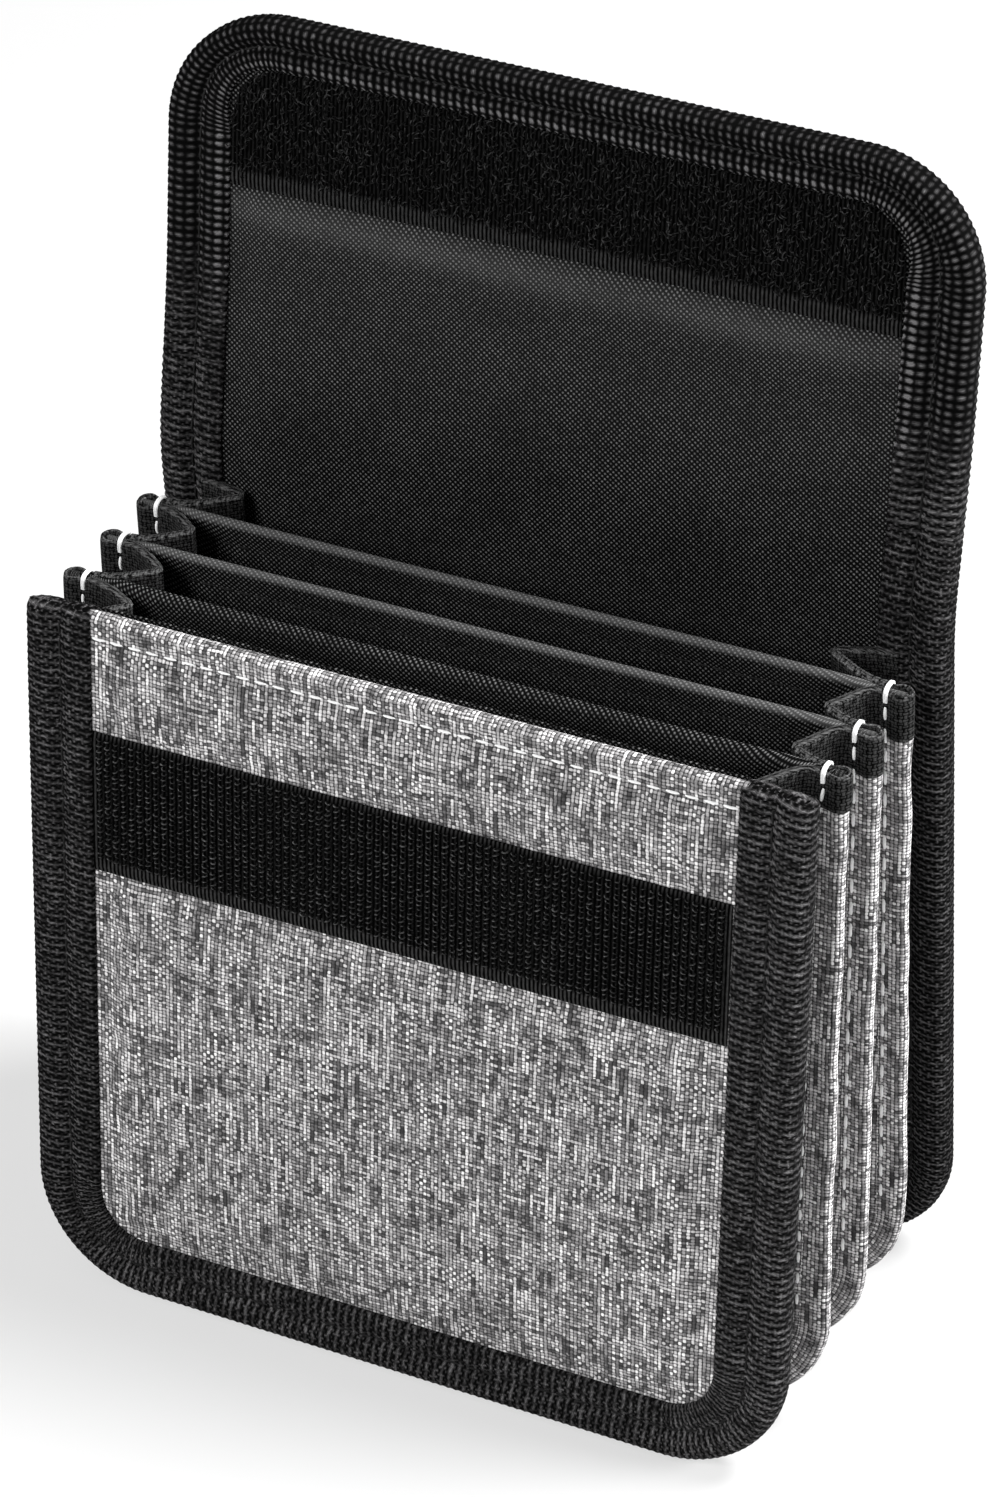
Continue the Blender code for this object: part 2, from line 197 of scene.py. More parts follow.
def closedSheet(name, outer, inner, finish, uv, rim=0.0, rimSteps=0, marks=None):
    # two matching grids of points, joined round their edge by a rounded rim
    rows, columns = outer.shape[:2]
    index = np.arange(rows * columns).reshape(rows, columns)
    border = np.concatenate([index[0, :-1], index[:-1, -1], index[-1, :0:-1], index[:0:-1, 0]])
    row, column = border // columns, border % columns
    inside = np.clip(row, 1, rows - 2) * columns + np.clip(column, 1, columns - 2)
    near, far, flat = outer.reshape(-1, 3), inner.reshape(-1, 3), uv.reshape(-1, 2)

    def outward(values):
        step = values[border] - values[inside]
        return step / np.maximum(np.linalg.norm(step, axis=1, keepdims=True), 1e-9)
    away, run = outward(near), outward(flat)
    faces = gridFaces(rows, columns) + gridFaces(rows, columns, rows * columns, True)
    rings, points, maps = [border], [near, far], [flat, flat]
    total = 2 * rows * columns
    last, gone = near[border], 0
    for step in range(rimSteps):
        share = (step + 1) / (rimSteps + 1)
        ring = near[border] * (1 - share) + far[border] * share + away * rim * math.sin(math.pi * share)
        gone = gone + np.linalg.norm(ring - last, axis=1, keepdims=True)
        last = ring
        points.append(ring)
        maps.append(flat[border] + run * gone)
        rings.append(np.arange(total, total + len(border)))
        total += len(border)
    rings.append(border + rows * columns)
    for first, second in zip(rings, rings[1:]):
        faces += np.stack([first, second, np.roll(second, -1), np.roll(first, -1)], 1).tolist()
    marks = {key: np.concatenate([v.ravel(), np.zeros(total - v.size)]) for key, v in (marks or {}).items()}
    return makeMesh(name, np.vstack(points), faces, finish, np.vstack(maps), marks)


def joined(name, parts):
    work = bmesh.new()
    for part in parts:
        work.from_mesh(part.data)
    mesh = bpy.data.meshes.new(name)
    work.to_mesh(mesh)
    work.free()
    for finish in parts[0].data.materials:
        mesh.materials.append(finish)
    for part in parts:
        old = part.data
        bpy.data.objects.remove(part)
        bpy.data.meshes.remove(old)
    softened(mesh)
    return linked(name, mesh)


def offsetGrid(grid, distance):  # the same grid moved along its own normals
    first, second = np.gradient(grid, axis=0), np.gradient(grid, axis=1)
    normal = np.cross(first, second)
    normal /= np.maximum(np.linalg.norm(normal, axis=-1, keepdims=True), 1e-12)
    return grid + normal * distance


def offsetTo(goal, spot, grid, distance):  # moved to the side where a point lies, seen from one of its spots
    moved = offsetGrid(grid, distance)
    nearer = np.linalg.norm(moved[spot] - goal) < np.linalg.norm(grid[spot] - goal)
    return moved if nearer else offsetGrid(grid, -distance)


def runLengths(grid, axis):  # distance run along one way of a grid
    steps = np.linalg.norm(np.diff(grid, axis=axis), axis=-1)
    pad = [(0, 0), (0, 0)]
    pad[axis] = (1, 0)
    return np.pad(np.cumsum(steps, axis=axis), pad)


clothRun = {"enlarge": 20, "frames": 20, "limit": 0.45, "gravity": 0.05}
clothSettings = {
    "quality": 5, "mass": 0.3, "tension_stiffness": 12, "compression_stiffness": 12, "shear_stiffness": 4,
    "bending_stiffness": 0.6, "vertex_group_mass": "held", "use_pressure": True,
    "uniform_pressure_force": 0.35, "shrink_min": -0.02,
}


def settled(grid, held, side):  # a short cloth run lets a padded face swell and crease by itself
    rows, columns = grid.shape[:2]
    large, limit = clothRun["enlarge"] * mm, clothRun["limit"]
    mesh = bpy.data.meshes.new("settling")
    mesh.from_pydata((grid.reshape(-1, 3) * large).tolist(), [], gridFaces(rows, columns, 0, side < 0))
    piece = linked("settling", mesh)
    group = piece.vertex_groups.new(name="held")
    for index, weight in enumerate(np.clip(held, 0, 1).ravel()):
        if weight > 0.001:
            group.add([index], float(weight), "REPLACE")
    cloth = piece.modifiers.new("settle", "CLOTH")
    for key, value in clothSettings.items():
        setattr(cloth.settings, key, value)
    cloth.settings.effector_weights.gravity = clothRun["gravity"]
    cloth.collision_settings.use_collision = False
    cloth.point_cache.frame_start, cloth.point_cache.frame_end = 1, clothRun["frames"]
    for step in range(1, clothRun["frames"] + 1):
        bpy.context.scene.frame_set(step)
    made = piece.evaluated_get(bpy.context.evaluated_depsgraph_get()).to_mesh()
    moved = np.empty(len(made.vertices) * 3)
    made.vertices.foreach_get("co", moved)
    bpy.context.scene.frame_set(1)
    bpy.data.objects.remove(piece)
    bpy.data.meshes.remove(mesh)
    normal = offsetGrid(grid, 1.0) - grid
    lift = np.sum((moved.reshape(grid.shape) / large - grid) * normal, axis=-1)
    lift = limit * np.tanh(lift / limit) * (1 - np.clip(held, 0, 1))
    mean, most = float(-side * lift.mean()), float(np.abs(lift).max())
    print("settled outward by", round(mean, 3), "most", round(most, 3))
    return grid + normal * lift[..., None]


def wobble(a, b, seed, scale):  # a smooth unrepeating wave of two numbers, about -1 to 1
    rng = np.random.default_rng(seed)
    fullTurn, waves = 6.283, 7
    total = 0
    for _ in range(waves):
        angle, phase, pitch = rng.uniform(0, fullTurn), rng.uniform(0, fullTurn), rng.uniform(0.6, 1.7)
        total = total + np.sin((a * math.cos(angle) + b * math.sin(angle)) / (scale * pitch) + phase)
    return total / (waves / 2)


# Node trees, for finishes and for geometry, written as sums
class Wire:
    def __init__(self, tree, socket=None):
        self.tree, self.socket = tree, socket

    def node(self, kind, settings=None, values=None, out=0):
        made = self.tree.nodes.new(kind)
        for key, value in (settings or {}).items():
            if key == "stops":
                for extra in range(len(value) - 2):
                    made.color_ramp.elements.new(0.5)
                for stop, (place, colour) in zip(made.color_ramp.elements, value):
                    stop.position, stop.color = place, (*colour, 1)
            else:
                setattr(made, key, value)
        for key, value in (values or {}).items():
            socket = made.inputs[key]
            if isinstance(key, str):
                socket = [s for s in made.inputs if s.name == key and s.enabled][0]
            for item in value if isinstance(value, list) else [value]:
                if isinstance(item, Wire):
                    self.tree.links.new(item.socket, socket)
                else:
                    socket.default_value = item
        shown = [s for s in made.outputs if s.enabled]
        if isinstance(out, str):
            shown, out = [s for s in shown if s.name == out], 0
        return Wire(self.tree, shown[out] if shown else None)

    def maths(self, operation, *values):
        return self.node("ShaderNodeMath", {"operation": operation}, dict(enumerate(values)))

    def __add__(self, other): return self.maths("ADD", self, other)
    def __radd__(self, other): return self.maths("ADD", other, self)
    def __sub__(self, other): return self.maths("SUBTRACT", self, other)
    def __rsub__(self, other): return self.maths("SUBTRACT", other, self)
    def __mul__(self, other): return self.maths("MULTIPLY", self, other)
    def __rmul__(self, other): return self.maths("MULTIPLY", other, self)
    def __truediv__(self, other): return self.maths("DIVIDE", self, other)
    def __pow__(self, other): return self.maths("POWER", self, other)
    def __mod__(self, other): return self.maths("FLOORED_MODULO", self, other)
    def __gt__(self, other): return self.maths("GREATER_THAN", self, other)
    def floor(self): return self.maths("FLOOR", self)
    def part(self): return self.maths("FRACT", self)
    def sine(self): return self.maths("SINE", self)
    def clamp(self): return self.maths("MINIMUM", self.maths("MAXIMUM", self, 0.0), 1.0)
    def arch(self): return (self.part() * math.pi).sine()  # one hump for each whole step

    def vector(self, x=0.0, y=0.0, z=0.0):
        return self.node("ShaderNodeCombineXYZ", None, {"X": x, "Y": y, "Z": z})

    def axis(self, name):
        return self.node("ShaderNodeSeparateXYZ", None, {0: self}, name)

    def where(self, kind="UV"):
        return self.node("ShaderNodeTexCoord", None, None, kind)

    def counted(self, wide, high):  # a place on the cloth, counted in steps of these sizes in millimetres
        return self.axis("X") * (1000 / wide), self.axis("Y") * (1000 / high)

    def mark(self, label):  # a number stored on the mesh, for a finish
        return self.node("ShaderNodeAttribute", {"attribute_name": label}, None, "Fac")

    def named(self, label, kind="FLOAT"):  # the same for a geometry tree
        return self.node("GeometryNodeInputNamedAttribute", {"data_type": kind}, {"Name": label})

    def random(self, x, y, seed=0.0):
        return self.node("ShaderNodeTexWhiteNoise", {"noise_dimensions": "3D"},
                         {"Vector": self.vector(x, y, seed)}, "Value")

    def noise(self, scale, detail=2.0):
        return self.node("ShaderNodeTexNoise", None, {"Vector": self, "Scale": scale, "Detail": detail})

    def grain(self, x, y, detail=2.0):  # noise with a scale of its own each way
        stretched = self.node("ShaderNodeVectorMath", {"operation": "MULTIPLY"}, {0: self, 1: (x, y, 1.0)})
        return stretched.noise(1.0, detail)

    def blended(self, factor, dark, pale):
        return self.node("ShaderNodeMix", {"data_type": "RGBA"}, {"Factor": factor, "A": dark, "B": pale})


def colour(*values):
    return (*values, 1.0) if len(values) == 3 else (values[0],) * 3 + (1.0,)


fixedBump = {  # depth in millimetres and strength of each finish's relief
    "heatherCloth": (0.16, 0.9), "blackTwill": (0.09, 0.8), "ribbedWebbing": (0.10, 0.8),
    "edgeTape": (0.08, 0.8), "whiteThread": (0.06, 0.7), "blackThread": (0.06, 0.7), "hookTape": (0.06, 0.7),
    "hookPlastic": (0.02, 0.4), "loopTape": (0.10, 0.8), "loopPile": (0.03, 0.5), "stiffBoard": (0.04, 0.5),
}


def finishOf(name, build, fixed):
    made = bpy.data.materials.new(name)
    made.use_nodes = True
    shader = made.node_tree.nodes["Principled BSDF"]
    for key, value in fixed.items():
        shader.inputs[key].default_value = value
    for key, value in build(Wire(made.node_tree)).items():
        if key == "Height":
            depth, strength = fixedBump[name]
            value = value.node("ShaderNodeBump", None,
                               {"Height": value, "Distance": depth * mm, "Strength": strength})
            key = "Normal"
        made.node_tree.links.new(value.socket, shader.inputs[key])
    return made


yarnSteps = {"heather": (0.66, 0.62), "twill": (0.52, 0.52), "tape": (0.62, 0.62), "strip": 0.7}
webbingSizes = {
    "rib": 1.36, "yarn": 1.40, "flapYarn": 1.8, "relief": 0.22, "lag": 0.06, "steps": 4, "acrossSteps": 3,
    "sideLeg": 11.5, "footLeg": 10.5, "flapLeg": 8.0, "groove": 6.2, "selvage": 2.9, "fade": 20,
    "rise": 1.45, "taper": 15.0, "slimmer": 0.06, "shoulder": 0.5, "shoulderWide": 1.4,
}


def heatherCloth(w):
    where = w.where()
    drift, shake = where.grain(180, 70) * 0.9, where.grain(1300, 1100) * 0.5
    u, v = where.counted(*yarnSteps["heather"])
    u, v = u + drift * 0.5 + shake, v + drift - shake * 0.8
    column, row = u.floor(), v.floor()
    across, along = u.arch(), v.arch()

    def warpRun(share, own, seed):  # one number for each length of a yarn that runs up the cloth
        return w.random(column, (v * share + w.random(column, own[0]) * own[1]).floor(), seed)

    def weftRun(share, own, seed):  # the same for a yarn that runs across
        return w.random((u * share + w.random(row, own[0]) * own[1]).floor(), row, seed)

    streaky = warpRun(0.19, (9.0, 5.0), 6.0) * 0.9 + where.grain(130, 110) * 0.6 > 1.04
    dashed = weftRun(0.45, (4.0, 5.0), 8.0) > 0.90
    warpOver = w.maths("MAXIMUM", ((column + row) % 2.0) * (1 - dashed), streaky)
    warpHeight = (across ** 0.8) * (along * 0.5 + 0.5)
    weftHeight = (along ** 0.8) * (across * 0.6 + 0.4)
    height = warpHeight * warpOver + weftHeight * (1 - warpOver)
    speck = w.random(column, row, 7.0)
    slub, streak = where.grain(1000, 80, 3.0), where.grain(90, 900, 3.0)
    warpShade = warpRun(0.15, (3.0, 7.0), 1.0) * 0.62 + speck * 0.28 + slub * 0.46 - 0.13
    weftShade = weftRun(0.22, (5.0, 7.0), 2.0) * 0.48 + speck * 0.24 + streak * 0.44 - 0.11
    # painted light from a mark: the fins carry a pale painted highlight on the folded tip and a slightly
    # lighter body
    shade = warpShade * warpOver + weftShade * (1 - warpOver) - streaky * 0.06 + 0.065 + w.mark("tint")
    tone = w.node("ShaderNodeValToRGB", {"stops": [
        (0.0, (0.014, 0.0135, 0.014)), (0.3, (0.075, 0.073, 0.075)), (0.55, (0.28, 0.273, 0.276)),
        (0.8, (0.66, 0.645, 0.65)), (1.0, (0.88, 0.87, 0.87))]}, {0: shade})
    return {"Base Color": w.blended((height * 1.9 - 0.30).clamp(), colour(0.007), tone), "Height": height}


def blackTwill(w):
    where, polish = w.where(), w.mark("polish")
    drift = where.grain(70, 70) * 1.2
    u, v = where.counted(*yarnSteps["twill"])
    ridge = ((u * 0.8 + v + drift) * (math.pi * 0.62)).sine()
    yarn = ((u - v * 0.9) * (math.pi * 0.62)).sine()
    height = ridge * ridge * (yarn * yarn * 0.85 + 0.15)
    speck = w.random(u.floor(), v.floor(), 4.0)
    patch = where.grain(60, 60) * 0.8 + 0.6
    lit = (height ** 2.2) * patch * (speck * 0.8 + 0.6)
    # painted highlight: marked places are painted paler, standing in for light on the divider tops and on the
    # flap lining
    lit = (lit + polish * (lit * 0.5 + 0.35)).clamp()
    return {"Base Color": w.blended(lit, colour(0.0008), colour(0.155)), "Height": height}


def ribbedWebbing(w):
    where = w.where()
    rib, selvage, bead, worn = (w.mark(label) for label in ("rib", "selvage", "bead", "worn"))
    u, v = where.counted(webbingSizes["yarn"], webbingSizes["rib"])
    v = v + u * webbingSizes["lag"] + (where.grain(300, 300) * 0.22 + where.grain(1100, 700) * 0.34)
    u = u + (v.floor() % 2.0) * 0.5 * (1 - bead) + where.grain(500, 900) * 0.5
    row, yarn = v.arch(), u.arch()
    twist = u + v * 5.0 + where.grain(1200, 1200) * 2.5
    fibre = (twist * (2 * math.pi)).sine() * 0.5 + 0.5
    speck = w.random(u.floor(), v.floor(), 3.0)
    broken = (where.grain(900, 1300, 3.0) * 3.6 - 1.2).clamp()
    # painted highlights: on the flap the ribs are painted as lit grain tops (beads, brighter on the selvage),
    # elsewhere as lit rib lines, for how the light falls on each part
    beads = (row ** 4.2) * (yarn ** 2.4 * 0.98 + 0.02) * (1.25 + selvage * 3.0) * (1 - worn * 0.6)
    lines = (row ** 8.0) * (yarn ** 1.3 + 0.14) * 1.75 + ((1 - yarn) ** 2.2) * (0.5 + broken * 0.9)
    lines = lines * (1 - selvage * 0.15)
    # the outer fold mark dims the painted rib highlights along the webbing's outer fold, here and in beads
    # above
    dash = beads * bead + lines * (1 - bead) * (broken * 0.85 + 0.15) * (1 - worn * 0.45)
    patch = where.grain(60, 60) * 0.9 + 0.55
    lit = dash * (fibre * 0.55 + 0.45) * (speck * 0.7 + 0.5) * patch * (rib > 0.001) * 0.66 + fibre * 0.004
    return {"Base Color": w.blended(lit.clamp(), colour(0.0010), colour(0.150, 0.146, 0.149)),
            "Height": (row ** 3.0) * 0.6 + dash * 0.4 + fibre * dash * 0.2}


def edgeTape(w):
    where = w.where()
    u, v = where.counted(*yarnSteps["tape"])
    over = (u.floor() + v.floor()) % 2.0
    height = u.arch() * over + v.arch() * (1 - over)
    fibre = where.grain(1400, 1400, 3.0)
    # painted highlight: the marked rim of the tape is painted pale
    pale = w.mark("rim") * (fibre * 5.0 - 2.0).clamp() * (height * 0.5 + 0.5)
    lit = (height * 1.5 + fibre * 3.4 - 2.3).clamp() * 0.24 + pale
    return {"Base Color": w.blended(lit.clamp(), colour(0.0008), colour(0.135)), "Height": height}


def stripBase(w):
    where = w.where()
    tick = (where.axis("X") * (2000 * math.pi / yarnSteps["strip"])).sine() * 0.5 + 0.5
    fibre = where.grain(2200, 900, 3.0)
    # painted shade: the tape is painted darker under the pile of hooks or loops
    lit = (tick * 0.8 + fibre * 0.9 - 0.6).clamp() * (1 - w.mark("pile") * 0.78)
    return {"Base Color": w.blended(lit, colour(0.0008), colour(0.050)), "Height": tick}


def threadOf(dark, pale):
    def twistedThread(w):
        fibre = w.where("Object").noise(3000.0)
        return {"Base Color": w.blended(fibre, colour(dark), colour(pale)), "Height": fibre}
    return twistedThread


def pileOf(pale):
    def plasticPile(w):
        where = w.where("Object")
        speck, clump = where.noise(1500.0), (where.noise(260.0, 3.0) * 2.6 - 0.8).clamp()
        lit = (speck * 3.0 - 1.3).clamp() * (clump * 0.7 + 0.3)
        return {"Base Color": w.blended(lit, colour(0.002), colour(pale)), "Height": speck}
    return plasticPile


def stiffBoard(w):
    grain = w.where("Object").noise(700.0, 4.0)
    return {"Base Color": w.blended(grain, colour(0.04), colour(0.09)), "Height": grain}


def matt(rough, shine=0.5, **more):
    return {"Roughness": rough, "Specular IOR Level": shine, **more}


heather = finishOf("heatherCloth", heatherCloth, matt(0.92, 0.15, **{"Sheen Weight": 0.05}))
twill = finishOf("blackTwill", blackTwill, matt(0.62, 0.03))
webbing = finishOf("ribbedWebbing", ribbedWebbing, matt(0.80, 0.02))
tape = finishOf("edgeTape", edgeTape, matt(0.82, 0.02))
white = finishOf("whiteThread", threadOf(0.74, 0.92), matt(0.7))
black = finishOf("blackThread", threadOf(0.0015, 0.022), matt(0.8, 0.1))
hookBase = finishOf("hookTape", stripBase, matt(0.8, 0.0))
hooks = finishOf("hookPlastic", pileOf(0.15), matt(0.36))
loopBase = finishOf("loopTape", stripBase, matt(0.9, 0.0))
loopYarn = finishOf("loopPile", pileOf(0.085), matt(0.7, 0.12))
board = finishOf("stiffBoard", stiffBoard, matt(0.8))
print("stage: finishes made")


# Geometry trees
def startTree(name, labels):
    tree = bpy.data.node_groups.new(name, "GeometryNodeTree")
    tree.interface.new_socket("Geometry", in_out="OUTPUT", socket_type="NodeSocketGeometry")
    tree.interface.new_socket("Geometry", in_out="INPUT", socket_type="NodeSocketGeometry")
    for label in labels:
        tree.interface.new_socket(label, in_out="INPUT", socket_type="NodeSocketFloat")
    tree.interface.new_socket("Finish", in_out="INPUT", socket_type="NodeSocketMaterial")
    entry = tree.nodes.new("NodeGroupInput")
    return Wire(tree), {s.name: Wire(tree, s) for s in entry.outputs if s.name}


def endTree(w, result):
    leave = w.tree.nodes.new("NodeGroupOutput")
    w.tree.links.new(result.socket, leave.inputs[0])
    return w.tree


def grow(piece, tree, sizes, finish):  # runs a tree on a piece and keeps the result as its plain mesh
    modifier = piece.modifiers.new("grow", "NODES")
    modifier.node_group = tree
    given = {**sizes, "Finish": finish}
    for item in tree.interface.items_tree:
        if item.in_out == "INPUT" and item.name in given:
            modifier[item.identifier] = given[item.name]
    depsgraph = bpy.context.evaluated_depsgraph_get()
    grown = bpy.data.meshes.new_from_object(piece.evaluated_get(depsgraph))
    piece.modifiers.remove(modifier)
    grown.name = piece.name
    old, piece.data = piece.data, grown
    bpy.data.meshes.remove(old)
    return piece


def ribTree():  # raises ribs, row by row and yarn by yarn, from the webbing's along and across lengths
    w, given = startTree("webbingRibs", ["Rib Pitch", "Yarn Pitch", "Relief"])
    along, across, face = (w.named(label) for label in ("along", "across", "face"))
    yarn = across / given["Yarn Pitch"]
    row = (along / given["Rib Pitch"] + yarn * webbingSizes["lag"]).arch()
    rib = (row ** 2.0) * (yarn.arch() * 0.7 + 0.3)
    lifted = w.node("ShaderNodeVectorMath", {"operation": "SCALE"}, {
        0: w.node("GeometryNodeInputNormal", None, None, "Normal"),
        "Scale": (rib - 0.5) * given["Relief"] * face})
    moved = w.node("GeometryNodeSetPosition", None, {"Geometry": given["Geometry"], "Offset": lifted})
    stored = w.node("GeometryNodeStoreNamedAttribute", {"data_type": "FLOAT", "domain": "POINT"},
                    {"Geometry": moved, "Name": "rib", "Value": rib * face})
    painted = w.node("GeometryNodeSetMaterial", None, {"Geometry": stored, "Material": given["Finish"]})
    return endTree(w, w.node("GeometryNodeRealizeInstances", None, {"Geometry": painted}))


def stitchTree():  # bowed stitches at even steps along lines, and a whole thread along lines marked bar
    w, given = startTree("threadStitches", ["Pitch", "Length", "Width", "Rise"])
    up, bar = w.named("up", "FLOAT_VECTOR"), w.named("bar")
    parts = w.tree.nodes.new("GeometryNodeSeparateGeometry")
    w.tree.links.new(given["Geometry"].socket, parts.inputs["Geometry"])
    w.tree.links.new((bar > 0.5).socket, parts.inputs["Selection"])
    whole, rows = (w.node("GeometryNodeMeshToCurve", None, {"Mesh": Wire(w.tree, out)})
                   for out in parts.outputs)
    ring = w.node("GeometryNodeCurvePrimitiveCircle", None, {"Resolution": 6, "Radius": given["Width"] * 0.5})

    def thread(line):
        return w.node("GeometryNodeCurveToMesh", None,
                      {"Curve": line, "Profile Curve": ring, "Fill Caps": True})
    half, under = given["Length"] * 0.5, -0.6 * given["Width"]
    bow = w.node("GeometryNodeCurveQuadraticBezier", None, {
        "Resolution": 6, "Start": w.vector(-1.0 * half, 0.0, under),
        "Middle": w.vector(0.0, 0.0, given["Rise"] * 2.0), "End": w.vector(half, 0.0, under)})
    line = w.node("GeometryNodeResampleCurve", {"mode": "LENGTH"}, {"Curve": rows, "Length": given["Pitch"]})
    turn = w.node("FunctionNodeAlignRotationToVector", {"axis": "X"},
                  {"Vector": w.node("GeometryNodeInputTangent")})
    turn = w.node("FunctionNodeAlignRotationToVector", {"axis": "Z", "pivot_axis": "X"},
                  {"Rotation": turn, "Vector": up})
    placed = w.node("GeometryNodeInstanceOnPoints", None,
                    {"Points": line, "Instance": thread(bow), "Rotation": turn})
    both = w.node("GeometryNodeJoinGeometry", None, {"Geometry": [placed, thread(whole)]})
    real = w.node("GeometryNodeRealizeInstances", None, {"Geometry": both})
    soft = w.node("GeometryNodeSetShadeSmooth", None, {"Geometry": real})
    painted = w.node("GeometryNodeSetMaterial", None, {"Geometry": soft, "Material": given["Finish"]})
    return endTree(w, painted)


def pileTree(name, scattered):  # hooks on the marked points of a tape, or loops scattered over it
    w, given = startTree(name, ["Radius", "Wire", "Sweep", "Density", "Tilt", "Seed"])
    marked = w.named("pile") > 0.5
    ring = w.node("GeometryNodeCurvePrimitiveCircle", None, {"Resolution": 3, "Radius": given["Wire"]})
    arc = w.node("GeometryNodeCurveArc", None, {
        "Resolution": 7, "Radius": given["Radius"], "Start Angle": -0.9, "Sweep Angle": given["Sweep"]})
    curl = w.node("GeometryNodeCurveToMesh", None, {"Curve": arc, "Profile Curve": ring, "Fill Caps": True})
    up = w.node("FunctionNodeEulerToRotation", None, {0: (math.pi / 2, 0.0, 0.0)})
    curl = w.node("GeometryNodeTransform", None, {
        "Geometry": curl, "Translation": w.vector(0.0, 0.0, given["Radius"] * 0.75), "Rotation": up})
    normal = w.node("GeometryNodeInputNormal", None, None, "Normal")
    seed = w.node("FunctionNodeFloatToInt", None, {0: given["Seed"]})
    points = given["Geometry"]
    if scattered:
        spread = w.tree.nodes.new("GeometryNodeDistributePointsOnFaces")
        for key, value in (("Mesh", points), ("Selection", marked), ("Density", given["Density"]),
                           ("Seed", seed)):
            w.tree.links.new(value.socket, [s for s in spread.inputs if s.name == key and s.enabled][0])
        points, normal = Wire(w.tree, spread.outputs["Points"]), Wire(w.tree, spread.outputs["Normal"])
        marked = True
    turn = w.node("FunctionNodeAlignRotationToVector", {"axis": "Z"}, {"Vector": normal})
    tilt = given["Tilt"]
    spin = w.node("FunctionNodeRandomValue", {"data_type": "FLOAT_VECTOR"}, {
        "Min": w.vector(-1.0 * tilt, -1.0 * tilt, -3.0 * tilt),
        "Max": w.vector(tilt, tilt, 3.0 * tilt), "Seed": seed})
    spin = w.node("FunctionNodeEulerToRotation", None, {0: spin})
    turn = w.node("FunctionNodeRotateRotation", {"rotation_space": "LOCAL"},
                  {"Rotation": turn, "Rotate By": spin})
    size = w.node("FunctionNodeRandomValue", {"data_type": "FLOAT"}, {"Min": 0.75, "Max": 1.2, "Seed": seed})
    placed = w.node("GeometryNodeInstanceOnPoints", None, {
        "Points": points, "Selection": marked, "Instance": curl, "Rotation": turn, "Scale": size})
    real = w.node("GeometryNodeRealizeInstances", None, {"Geometry": placed})
    painted = w.node("GeometryNodeSetMaterial", None, {"Geometry": real, "Material": given["Finish"]})
    return endTree(w, w.node("GeometryNodeJoinGeometry", None, {"Geometry": [given["Geometry"], painted]}))


ribs, stitches = ribTree(), stitchTree()
hookPile, loopPile = pileTree("hookRows", False), pileTree("loopNap", True)


def stitchLines(name, lines, ups, sizes, finish, bars=()):  # lines and bars are rows of points in millimetres
    points, edges, upward, bar = [], [], [], []
    for group, mark in ((list(zip(lines, ups)), 0), (list(bars), 1)):
        for line, up in group:
            start = sum(len(p) for p in points)
            points.append(np.asarray(line))
            edges += [(start + k, start + k + 1) for k in range(len(line) - 1)]
            upward.append(np.broadcast_to(up, np.shape(line)))
            bar += [mark] * len(line)
    mesh = bpy.data.meshes.new(name)
    mesh.from_pydata((np.vstack(points) * mm).tolist(), edges, [])
    made = mesh.attributes.new("up", "FLOAT_VECTOR", "POINT")
    made.data.foreach_set("vector", np.vstack(upward).astype(np.float32).ravel())
    made = mesh.attributes.new("bar", "FLOAT", "POINT")
    made.data.foreach_set("value", np.array(bar, np.float32))
    return grow(linked(name, mesh), stitches, {key: value * mm for key, value in sizes.items()}, finish)


# Webbing folded round an edge: half of its section outside and inside, as depth and distance from the middle
bindingLine = [(11.5, 1.76), (11.55, 2.15), (11.2, 2.42), (10.0, 2.58), (8.6, 2.66), (7.4, 2.5),
               (6.7, 2.1), (6.2, 1.78), (5.7, 2.1), (5.0, 2.62), (3.8, 2.95), (2.2, 2.95), (0.9, 2.55),
               (0.15, 1.5), (0.0, 0.0)]
insideLine = np.array([(10.9, 1.72), (8.0, 1.72), (4.0, 1.72), (1.05, 1.72)])
grooveThread = {"Pitch": 3.2, "Length": 2.5, "Width": 0.4, "Rise": 0.22}
grooveSeat = 1.92


def legShare(endLeg, inZ):  # how deep the legs are along the run, as a share of the leg at the sides
    side = webbingSizes["sideLeg"]
    return (side + (endLeg - side) * ease(inZ)) / side


